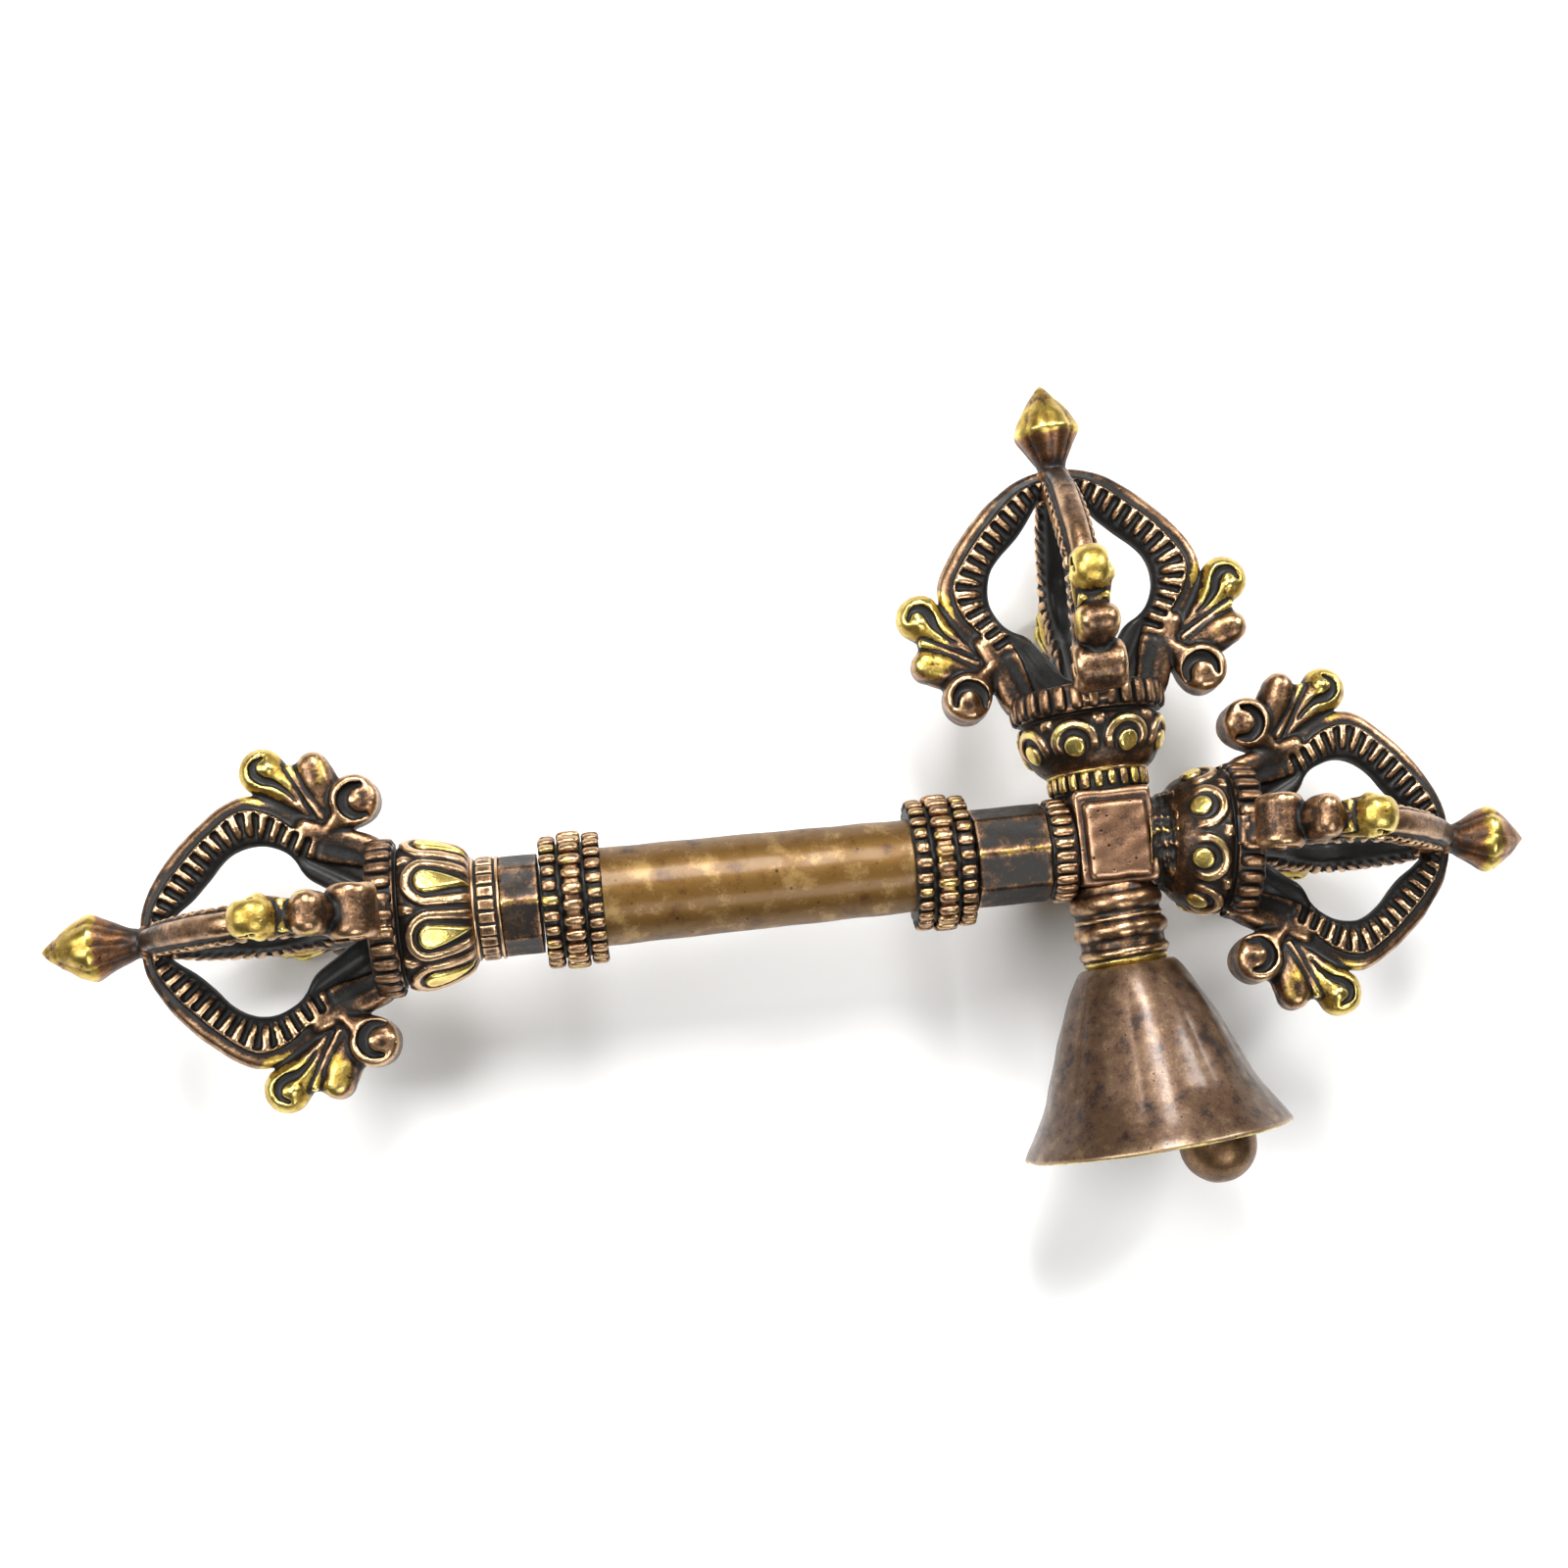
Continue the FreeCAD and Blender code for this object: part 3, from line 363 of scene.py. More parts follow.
def prong_shape():
    """The distance field of one prong on a grid of (out from the axis, across, along the axis)."""
    low, high = np.array([-0.6, -4.4, -3.6]), np.array([25.2, 4.4, 31.2])
    r, y, s = [np.arange(a, b, PRONG_STEP) for a, b in zip(low, high)]
    R, S = np.meshgrid(r, s, indexing="ij")
    Y = y[None, :, None]

    def slab(flat, half, edge, across=Y):
        """A flat shape made half thick, where half may change over the grid."""
        return pillow(flat[:, None, :], across, half[:, None, :] if np.ndim(half) else half, edge)

    def balls(height, out, beside, radius):
        """A ball on each cheek of the prong."""
        flat = (S - height)[:, None, :] ** 2 + (R - out)[:, None, :] ** 2
        return np.sqrt(flat + (np.abs(Y) - beside) ** 2) - radius

    # The strap that arches from the cup to the finial: a ridge outside, a ribbed band inside.
    gap, reach, side = along(ARCH_EDGE, S, R)
    inward = gap * side
    opening, _, inner_side = along(WINDOW_EDGE, S, R)
    opening = -opening * inner_side
    in_strap, in_window = (14, 16), (6, 15)  # a place (r, s) inside each, to tell the sides apart
    if inward[np.abs(r - in_strap[0]).argmin(), np.abs(s - in_strap[1]).argmin()] < 0:
        inward = -inward
    if opening[np.abs(r - in_window[0]).argmin(), np.abs(s - in_window[1]).argmin()] > 0:
        opening = -opening
    plate = np.maximum(-inward, -opening)
    wide = np.interp(reach, [0, 6, 14, 26, 34, 40], [1.9, 2.25, 2.5, 2.5, 2.2, 1.9])
    slim = np.interp(reach, [0, 5, 12, 27, 34, 40], [0.62, 0.75, 1.0, 1.0, 0.9, 0.75])
    ridge = np.hypot(np.maximum(np.abs(inward - 1.1) - 0.5, 0)[:, None, :], Y * 0.70) - 0.78
    run = along(BAND_MIDDLE, S, R)[1]
    phase = np.abs(((run / RIB_PITCH) % 1.0) - 0.5) * 2
    notch = eased(phase, 0.42, 0.70) * eased(inward / slim, 1.95, 2.45) * eased(run, 0.4, 1.4)
    notch = notch * (1 - eased(run, 27.5, 30.0))
    half = wide - 0.95 * notch - 0.45 * eased(inward, 3.6, 5.4)
    band = slab(np.maximum(np.abs(inward / slim - 3.65) - 1.75, 0.7 - opening), half, 0.4)
    strap = melt(melt(ridge, slab(plate, wide * 0.62, 0.9), 0.35), band, 0.2)
    foot = stroke(S, R, (7.6, 13.0, 1.3), (4.2, 11.7, 1.4), (0.4, 10.2, 1.5), (-0.7, 9.6, 1.6))
    flute = along([(9.0, 9.6), (0.0, 4.4)], S, R)[0]
    strap = strap + 0.4 * np.exp(-(flute / 0.55) ** 2)[:, None, :] * (1 - eased(s, 7.5, 9.0))
    body = melt(strap, slab(foot, 2.3, 1.2), 0.8)

    # The curl with its comma-shaped hollow and its knob.
    curl = slab(stroke(S, R, (7.0, 14.6, 1.0), (8.8, 16.8, 1.75), (10.7, 19.1, 2.6), (12.6, 21.0, 3.18)),
            np.interp(R, [14, 19], [1.9, 2.65]), 2.3)
    comma = stroke(S, R, (12.4, 22.7, 0.30), (13.6, 21.9, 0.45), (13.6, 20.6, 0.62), (12.4, 19.7, 0.66),
            (11.0, 19.2, 0.5), (9.4, 17.9, 0.3), (8.4, 16.6, 0.22))
    curl = carve(curl, slab(comma, 1.6, 0.3, np.abs(Y) - 3.3), 0.35)
    curl = melt(curl, balls(11.7, 21.3, 1.9, 1.15), 0.3)

    # The thin leaf between the curl and the broad leaf, and the broad leaf.
    thin_leaf = slab(stroke(S, R, (9.0, 21.2, 0.5), (7.6, 18.4, 0.5), (5.2, 14.2, 0.5)), 2.15, 0.5)
    leaf = slab(stroke(S, R, (3.7, 12.8, 0.9), (4.5, 15.6, 1.5), (5.3, 18.6, 2.15), (5.9, 21.0, 2.1)),
            np.interp(R, [13, 19], [2.0, 2.85]), 1.75)

    # The scroll at the foot, with its hollow and its bead.
    scroll = melt(stroke(S, R, (0.75, 16.1, 3.3)),
            stroke(S, R, (4.4, 12.4, 1.0), (2.6, 13.6, 1.7), (1.6, 14.6, 2.1)), 0.8)
    scroll = slab(scroll, np.interp(R, [12, 15.5], [2.4, 3.6]), 1.2)
    hollow = stroke(S, R, (-0.2, 17.9, 0.35), (1.2, 17.6, 0.6), (2.2, 16.4, 0.75), (2.0, 14.9, 0.75),
            (0.8, 13.9, 0.65), (-0.7, 13.9, 0.4))
    scroll = carve(scroll, slab(hollow, 2.3, 0.3, np.abs(Y) - 4.3), 0.3)
    scroll = melt(scroll, balls(0.35, 15.9, 2.7, 1.05), 0.3)

    # A thin plate behind the lobes, so that they hang together.
    backing = melt(stroke(S, R, (4.0, 12.6, 2.4), (5.0, 15.0, 3.3), (5.9, 17.2, 3.9), (6.4, 18.6, 3.7)),
            stroke(S, R, (8.6, 15.6, 1.6), (10.2, 18.0, 2.6)), 1.5)
    lobes = melt(melt(melt(curl, leaf, 0.35), scroll, 0.35), thin_leaf, 0.3)
    return melt(melt(body, lobes, 0.5), slab(backing, 1.15, 0.8), 0.5), low


def stretched(s, length, drop):
    """Moves places along the axis from the first prong to one of another length."""
    lobes_end = 12.9
    return np.interp(s, [-5, 0, lobes_end, 30.4, 35],
            [-5 - drop / 2, -drop / 2, lobes_end - drop, length, length + 4.6])


# Each head: its arm, where its prongs start, roll, length, how far the lobes sit back, reach, the sides
# that its prongs face, and how much gilding is left on each prong's curl and leaf.
HEADS = [
    ("handle", HANDLE_ARM, 99.5, 0.0, 30.4, 0.0, 24.2, ("front", "upper", "back", "lower"),
     ((0.75, 0.7), (0.85, 0.4), (0.9, 0.5), (1.0, 0.8))),
    ("top", TOP_ARM, 14.1, TOP_ROLL, 31.0, 0.0, 24.2, ("front", "right", "back", "left"),
     ((1.0, 0.9), (0.9, 0.4), (1.0, 0.5), (1.0, 0.9))),
    ("right", RIGHT_ARM, 14.0, RIGHT_ROLL, 27.6, 1.5, 23.89, ("front", "lower", "back", "upper"),
     ((0.9, 0.2), (0.7, 0.6), (0.8, 0.4), (0.6, 0.2))),
]


def make_prongs():
    """All twelve prongs from the one shape, each with its own slight unevenness."""
    field, low = prong_shape()
    points, quads = surface_net(field, low, PRONG_STEP)
    points = blurred(points, neighbours([quads]), 1)
    proud = proudness(points, [quads], 5, 30, (4.0, 0.75))
    r, s = points[:, 0], points[:, 2]
    curl = np.hypot(s - 12.3, r - 20.6)
    leaf = np.hypot((s - 6.0) * 1.2, r - 20.0)
    gilt_curl = 1 - eased(curl, 3.6, 5.2)
    gilt_leaf = (1 - eased(leaf, 1.8, 3.4)) * 0.75
    depth = 1 - eased(r, 8.0, 12.5)
    inner_wall = along(WINDOW_EDGE, s, r)[0]
    for name, place, base, roll, length, drop, reach, sides, amounts in HEADS:
        for number, side in enumerate(sides):
            seed = len(bpy.data.objects)  # every piece made so far gives the next prong other bumps
            curl_gilt, leaf_gilt = amounts[number]
            shape = points.copy()
            shape[:, 0] *= np.interp(s, [0, 6, 13], [1, 1, reach / LOBE_REACH])
            shape[:, 2] = stretched(s, length, drop)
            shape = shape + normals_of(points, [quads]) * (ripple(points, 5.0, seed) * 0.07)[:, None]
            # Painted shade: darker along the window's inner wall and toward the axis, inside the head
            # between the prongs.
            value = {"proud": proud - 0.28 * (1 - eased(inner_wall, 0.8, 2.4)) - 0.17 * depth,
                    "gilt": np.maximum(gilt_curl * curl_gilt, gilt_leaf * leaf_gilt)}
            mesh = make_mesh(f"{name}_{side}_prong", shape, [quads],
                    place @ shifted(z=base) @ turned("z", roll + 90 * number), value)
            piece(f"{name}_{side}_forked_prong", mesh, CAST_BRONZE,
                  [f"{name}_prong_{side}"])



# ---- the materials ----


def linear(code, alpha=1.0):
    """An sRGB hex colour as linear red, green, blue and alpha."""
    parts = [int(code[i:i + 2], 16) / 255 for i in (1, 3, 5)]
    return tuple(p / 12.92 if p <= 0.04045 else ((p + 0.055) / 1.055) ** 2.4 for p in parts) + (alpha,)


def add(tree, kind, inputs=None, **settings):
    """Adds a node with its settings. An input is a value, or the socket it is linked to."""
    node = tree.nodes.new(kind)
    for key, value in settings.items():
        setattr(node, key, value)
    for key, value in (inputs or {}).items():
        if isinstance(value, bpy.types.NodeSocket):
            tree.links.new(value, node.inputs[key])
        else:
            node.inputs[key].default_value = value
    return node


BRASS_STOPS = [(0.30, "#2A2012"), (0.46, "#6E5628"), (0.62, "#B39443"), (0.86, "#E8D27C")]
SOOT = "#17110E"
GRAIN_SHARE = 0.22
BLOTCH = 2.6


def metal(name, stops, rough, patch=1.8, mottle=0.55, grain=0.22, pits=0.5, pit_size=0.16, pit_gap=1.3,
        bump=0.5, metallic=(0.3, 0.55), bareness=1.0, wax=0.12):
    """A cast or drawn copper alloy: dark where it is sunk, rubbed bright where it stands proud.

    patch, grain and pit_gap are in millimetres. Where gilt is left, the brass stops take over.
    """
    material = bpy.data.materials.new(name)
    material.use_nodes = True
    tree = material.node_tree
    tree.nodes.clear()
    spot = add(tree, "ShaderNodeTexCoord").outputs["Object"]
    proud = add(tree, "ShaderNodeAttribute", attribute_name="proud").outputs["Fac"]
    gilt = add(tree, "ShaderNodeAttribute", attribute_name="gilt").outputs["Fac"]
    patches = add(tree, "ShaderNodeTexNoise", {"Vector": spot, "Scale": PER_METRE / patch, "Detail": 5.0,
            "Roughness": 0.62}).outputs["Fac"]
    grains = add(tree, "ShaderNodeTexNoise", {"Vector": spot, "Scale": PER_METRE / grain,
            "Detail": 2.0}).outputs["Fac"]
    mottled = add(tree, "ShaderNodeMath", {0: patches, 1: mottle, 2: proud},
            operation="MULTIPLY_ADD").outputs[0]
    grained = add(tree, "ShaderNodeMath", {0: grains, 1: GRAIN_SHARE, 2: mottled},
            operation="MULTIPLY_ADD").outputs[0]
    level = add(tree, "ShaderNodeMath", {0: grained, 1: (mottle + GRAIN_SHARE) / 2},
            operation="SUBTRACT").outputs[0]
    shades = []
    for shade in (stops, BRASS_STOPS):
        node = add(tree, "ShaderNodeValToRGB", {"Fac": level})
        band = node.color_ramp
        while len(band.elements) < len(shade):
            band.elements.new(0.5)
        for element, (place, code) in zip(band.elements, shade):
            element.position = place
            element.color = linear(code)
        shades.append(node.outputs["Color"])
    copper, yellow = shades
    worn = add(tree, "ShaderNodeMapRange", {"Value": level, "From Min": 0.44, "From Max": 0.60}).outputs[0]
    shown = add(tree, "ShaderNodeMath", {0: gilt, 1: worn}, operation="MULTIPLY").outputs[0]
    blotch = add(tree, "ShaderNodeTexNoise", {"Vector": spot, "Scale": PER_METRE / BLOTCH, "Detail": 4.0,
            "Roughness": 0.65}).outputs["Fac"]
    patchy = add(tree, "ShaderNodeMath", {0: blotch, 1: 1.6, 2: shown},
            operation="MULTIPLY_ADD").outputs[0]
    edge = add(tree, "ShaderNodeMapRange", {"Value": patchy, "From Min": 1.10, "From Max": 1.40}).outputs[0]
    colour = add(tree, "ShaderNodeMix", {"Factor": edge, 6: copper, 7: yellow}, data_type="RGBA").outputs[2]
    cell = add(tree, "ShaderNodeTexVoronoi", {"Vector": spot, "Scale": PER_METRE / pit_gap,
            "Randomness": 1.0})
    pit = add(tree, "ShaderNodeMapRange", {"Value": cell.outputs["Distance"], "From Min": pit_size * 0.6,
            "From Max": pit_size, "To Min": pits, "To Max": 0.0}).outputs[0]
    few = add(tree, "ShaderNodeSeparateColor", {"Color": cell.outputs["Color"]}).outputs["Red"]
    some = add(tree, "ShaderNodeMath", {0: few, 1: 0.55}, operation="GREATER_THAN").outputs[0]
    pitted = add(tree, "ShaderNodeMath", {0: pit, 1: some}, operation="MULTIPLY").outputs[0]
    darker = add(tree, "ShaderNodeMix", {"Factor": pitted, 6: colour, 7: linear(SOOT)},
            data_type="RGBA").outputs[2]
    height = add(tree, "ShaderNodeMath", {0: grains, 1: 0.35, 2: patches},
            operation="MULTIPLY_ADD").outputs[0]
    sunk = add(tree, "ShaderNodeMath", {0: height, 1: pitted}, operation="SUBTRACT").outputs[0]
    relief = add(tree, "ShaderNodeBump", {"Height": sunk, "Distance": 0.12 * MM,
            "Strength": bump}).outputs[0]
    gloss = add(tree, "ShaderNodeMapRange", {"Value": level, "From Min": 0.30, "From Max": 0.80,
            "To Min": rough[0], "To Max": rough[1]}).outputs[0]
    bare = add(tree, "ShaderNodeMapRange", {"Value": level, "From Min": metallic[0],
            "From Max": metallic[1], "To Min": bareness * 0.3, "To Max": bareness}).outputs[0]
    shader = add(tree, "ShaderNodeBsdfPrincipled", {"Base Color": darker, "Metallic": bare,
            "Roughness": gloss, "Normal": relief, "Coat Weight": wax, "Coat Roughness": 0.2})
    add(tree, "ShaderNodeOutputMaterial", {"Surface": shader.outputs[0]})
    return material


# Lost-wax cast bronze with a blackened patina, rubbed back: sooty hollows, red-brown flanks, tan ridges.
CAST_BRONZE = metal(
    "cast_bronze_rubbed_patina",
    [(0.34, "#0F0E0C"), (0.45, "#221B15"), (0.55, "#4E3B2D"), (0.68, "#8E6D51"), (0.90, "#D6B188")],
    (0.60, 0.29), grain=0.34, bump=0.85)
# The same bronze where the casting is porous and rubbed flat: brown with dark holes.
PITTED_BRONZE = metal(
    "cast_bronze_porous",
    [(0.34, "#1A1410"), (0.45, "#4C382A"), (0.56, "#8A6850"), (0.68, "#A9866A"), (0.90, "#D6B188")],
    (0.55, 0.30), pits=0.95, pit_size=0.24, pit_gap=1.1, mottle=0.4)
# Cast yellow brass, worn bright by handling, pitted: warm yellow with brown hollows.
WORN_BRASS = metal(
    "cast_brass_worn", [(0.30, "#1E1510"), (0.46, "#4A3222"), (0.60, "#8A6040"), (0.84, "#D8B07A")],
    (0.5, 0.3), pits=0.7, pit_size=0.2)
# Drawn brass tube, tarnished by hands: ochre with paler and redder blotches and a satin gloss.
SLEEVE_BRASS = metal(
    "drawn_brass_tarnished",
    [(0.30, "#36210E"), (0.42, "#5A3B12"), (0.52, "#6E4E19"), (0.60, "#6B4B1E"), (0.75, "#937441")],
    (0.55, 0.46), patch=4.0, mottle=1.1, pits=0.85, pit_size=0.15, pit_gap=1.9, bump=0.14,
    metallic=(0.0, 0.2), bareness=0.65, wax=0.25)
# Turned bell bronze with a thin brown patina: brown, satin, with fine dark freckles.
BELL_BRONZE = metal(
    "turned_bell_bronze_brown",
    [(0.28, "#1C130E"), (0.42, "#3D2D25"), (0.50, "#5B422F"), (0.58, "#624B38"), (0.80, "#957B5D")],
    (0.48, 0.36), patch=2.0, mottle=0.75, grain=0.30, pits=0.8, pit_size=0.14, bump=0.28,
    metallic=(0.0, 0.3), bareness=0.7, wax=0.45)
# Cast clapper ball, brown bronze with a rough grain.
BALL_BRONZE = metal(
    "cast_clapper_bronze", [(0.28, "#241A13"), (0.42, "#4A3423"), (0.60, "#7E5F40"), (0.80, "#BC9B6A")],
    (0.5, 0.40), patch=2.2, pits=0.6, metallic=(0.0, 0.3), bareness=0.8)
# Drawn wire, dull brown.
LOOP_WIRE = metal("drawn_wire_dull", [(0.28, "#241A14"), (0.45, "#4A382C"), (0.70, "#7C6452")],
        (0.55, 0.42), pits=0.2, bump=0.2, metallic=(0.0, 0.3))

# ---- rings of beads and bars ----


def bead_ring_tree():
    """Geometry Nodes: sets rounded beads around a turned core."""
    group = bpy.data.node_groups.new("bead_ring", "GeometryNodeTree")
    for name, kind, default in (("Core", "Geometry", None), ("Beads", "Int", 26),
            ("Radius", "Float", 0.008), ("Place", "Float", 0.0), ("Thickness", "Float", 0.001),
            ("Width", "Float", 0.001), ("Length", "Float", 0.002), ("Start", "Float", 0.0),
            ("Unevenness", "Float", 0.08), ("Seed", "Int", 1), ("Finish", "Material", None)):
        entry = group.interface.new_socket(name, in_out="INPUT", socket_type=f"NodeSocket{kind}")
        if default is not None:
            entry.default_value = default
    group.interface.new_socket("Ring", in_out="OUTPUT", socket_type="NodeSocketGeometry")
    given = add(group, "NodeGroupInput").outputs
    circle = add(group, "GeometryNodeMeshCircle", {"Vertices": given["Beads"], "Radius": given["Radius"]})
    start = add(group, "ShaderNodeCombineXYZ", {"Z": given["Start"]}).outputs[0]
    lift = add(group, "ShaderNodeCombineXYZ", {"Z": given["Place"]}).outputs[0]
    ring = add(group, "GeometryNodeTransform", {"Geometry": circle.outputs["Mesh"], "Rotation": start,
            "Translation": lift}).outputs[0]
    where = add(group, "GeometryNodeInputPosition").outputs[0]
    apart = add(group, "ShaderNodeSeparateXYZ", {0: where}).outputs
    outward = add(group, "ShaderNodeCombineXYZ", {"X": apart["X"], "Y": apart["Y"]}).outputs[0]
    facing = add(group, "FunctionNodeAlignRotationToVector", {"Vector": outward}, axis="X",
            pivot_axis="Z").outputs[0]
    plump = 1.12  # makes up for what rounding takes off a cube
    cube = add(group, "GeometryNodeMeshCube", {"Size": (plump, plump, plump), "Vertices X": 3,
            "Vertices Y": 3, "Vertices Z": 3}).outputs["Mesh"]
    round_cube = add(group, "GeometryNodeSubdivisionSurface", {"Mesh": cube, "Level": 1}).outputs[0]
    size = add(group, "ShaderNodeCombineXYZ", {"X": given["Thickness"], "Y": given["Width"],
            "Z": given["Length"]}).outputs[0]
    bead = add(group, "GeometryNodeTransform", {"Geometry": round_cube, "Scale": size}).outputs[0]
    less = add(group, "ShaderNodeMath", {0: 1.0, 1: given["Unevenness"]}, operation="SUBTRACT").outputs[0]
    more = add(group, "ShaderNodeMath", {0: 1.0, 1: given["Unevenness"]}, operation="ADD").outputs[0]
    low = add(group, "ShaderNodeCombineXYZ", {"X": less, "Y": less, "Z": less}).outputs[0]
    high = add(group, "ShaderNodeCombineXYZ", {"X": more, "Y": more, "Z": more}).outputs[0]
    uneven = add(group, "FunctionNodeRandomValue", {0: low, 1: high, "Seed": given["Seed"]},
            data_type="FLOAT_VECTOR").outputs[0]
    beads = add(group, "GeometryNodeInstanceOnPoints", {"Points": ring, "Instance": bead,
            "Rotation": facing, "Scale": uneven}).outputs[0]
    real = add(group, "GeometryNodeRealizeInstances", {"Geometry": beads}).outputs[0]
    joined = add(group, "GeometryNodeJoinGeometry")
    group.links.new(given["Core"], joined.inputs[0])
    group.links.new(real, joined.inputs[0])
    smooth = add(group, "GeometryNodeSetShadeSmooth", {"Geometry": joined.outputs[0]}).outputs[0]
    painted = add(group, "GeometryNodeSetMaterial", {"Geometry": smooth,
            "Material": given["Finish"]}).outputs[0]
    add(group, "NodeGroupOutput", {"Ring": painted})
    return group


BEAD_RING = bead_ring_tree()
LENGTHS = ("Radius", "Place", "Thickness", "Width", "Length")


def bead_row(beads, *sizes):
    """One row: how many beads, then the five lengths in millimetres, the start and the unevenness."""
    return dict(zip(("Beads",) + LENGTHS + ("Start", "Unevenness"), (beads,) + sizes))


def beaded(name, core, rows, place, material, low, high, gilt):
    """A core with its rows of beads, as one mesh, dark below the radius low and bright above high."""
    item = placed(f"{name}_core", make_mesh(f"{name}_core", *core, np.eye(4)))
    ids = {s.name: s.identifier for s in BEAD_RING.interface.items_tree if s.in_out == "INPUT"}
    for number, row in enumerate(rows):
        modifier = item.modifiers.new(f"row_{number}", "NODES")
        modifier.node_group = BEAD_RING
        for key, value in dict(row, Seed=number + 3, Finish=material).items():
            modifier[ids[key]] = float(value * MM) if key in LENGTHS else value
    seen = item.evaluated_get(bpy.context.evaluated_depsgraph_get())
    mesh = bpy.data.meshes.new_from_object(seen)
    item.modifiers.clear()
    bpy.data.objects.remove(item)
    mesh.name = name
    flat = np.zeros(len(mesh.vertices) * 3, np.float32)
    mesh.vertices.foreach_get("co", flat)
    radius = np.hypot(flat[0::3], flat[1::3]) / MM
    proud = 0.12 + 0.62 * eased(radius, low, high)
    for key, value in (("proud", proud), ("gilt", np.full(len(proud), gilt))):
        layer = mesh.attributes.new(key, "FLOAT", "POINT")
        layer.data.foreach_set("value", value.astype(np.float32))
    matrix = Matrix(place.tolist())
    matrix.translation *= MM
    mesh.transform(matrix)
    mesh.polygons.foreach_set("use_smooth", np.ones(len(mesh.polygons), bool))
    return mesh


def make_collars():
    """The two triple collars of the grip and the single collar beside the block. The inner walls of their
    cores, which are out of sight, are left out."""
    lip, beads, columns = 0.75, 26, 96
    for side, start, width in (("inner", 18.7, 9.4), ("outer", 68.3, 8.7)):
        middle = width / 2
        hoops = ((middle - 2.9, 1.9, 8.75), (middle, 2.6, 9.2), (middle + 2.9, 1.9, 8.75))
        corners = [(5.6, lip), (6.9, lip)]
        for middle, length, top in hoops:
            corners += [(7.6, middle - length / 2 - 0.15), (top - lip, middle - length / 3),
                    (top - lip, middle + length / 3), (7.6, middle + length / 2 + 0.15)]
        corners += [(6.9, width - lip), (5.6, width - lip)]
        rows = [bead_row(beads, top - lip, middle, 1.5, 1.3, length, 0.09 * hoop, 0.12)
                for hoop, (middle, length, top) in enumerate(hoops)]
        name = f"{side}_triple_collar"
        mesh = beaded(name, lathe(evened(corners, 0.35), columns), rows, HANDLE_ARM @ shifted(z=start),
                CAST_BRONZE, 7.7, 8.7, 0.25)
        piece(name, mesh, CAST_BRONZE, [f"{side}_collar"])
    corners = [(4.7, 0.03), (6.1, 0.03), (6.35, 0.4), (6.35, 3.3), (6.1, 3.67), (4.7, 3.67)]
    mesh = beaded("block_bar_collar", lathe(evened(corners, 0.35), columns),
            [bead_row(25, 6.15, 1.85, 1.7, 1.25, 2.7, 0.05, 0.06)], HANDLE_ARM @ shifted(z=5.3),
            CAST_BRONZE, 6.3, 6.85, 0.1)
    piece("block_bar_collar", mesh, CAST_BRONZE, ["block_collar"])


# ---- the lotus cups ----

PETALS = 8


def petal_relief(angle, place, radius, length, kind):
    """How far the petals stand out, and how bright they are rubbed, over the side of a cup."""
    pitch = 2 * math.pi / PETALS
    phase = (angle + pitch / 2) % pitch - pitch / 2
    x = phase * radius
    half = radius * pitch / 2
    if kind == "long":
        w = half * np.interp(place / length, [0, 0.45, 1], [0.88, 0.94, 0.97])
        top = length - 0.35 - w
        d = np.where(place > top, np.hypot(x, place - top) - w, np.abs(x) - w)
        rim = eased(-d, 0.0, 0.3) * (1 - eased(-d, 1.1, 1.4))
        inner = np.interp(place / length, [0, 0.35, 0.7, 1], [0.15, 0.6, 1.0, 1.0])
        drop = eased(-d, 1.65 + 0.7 * (1 - inner), 2.15 + 0.7 * (1 - inner))
        gap = np.abs(x) - half + 0.55 * eased(place / length, 0.5, 1.0)
        tip = eased(gap, -0.35, 0.15) * eased(place / length, 0.72, 0.9)
    else:
        w = half * 0.93
        top = length - 0.45 - w
        d = np.hypot(x, np.maximum(place - top, (place - top) * 0.75)) - w
        rim = eased(-d, 0.0, 0.3) * (1 - eased(-d, 1.1, 1.45)) * eased(place, top - 1.6, top + 0.2)
        dot = np.hypot(x, (place - (top - 0.35)) * 0.9) - 1.45
        drop = eased(-dot, -0.15, 0.35)
        tip = eased(np.abs(x) - half + 0.75, -0.25, 0.2) * eased(place / length, 0.74, 0.92)
    rise = 0.05 + 0.5 * rim + 0.62 * drop + 0.4 * tip
    return rise, rim, drop, tip


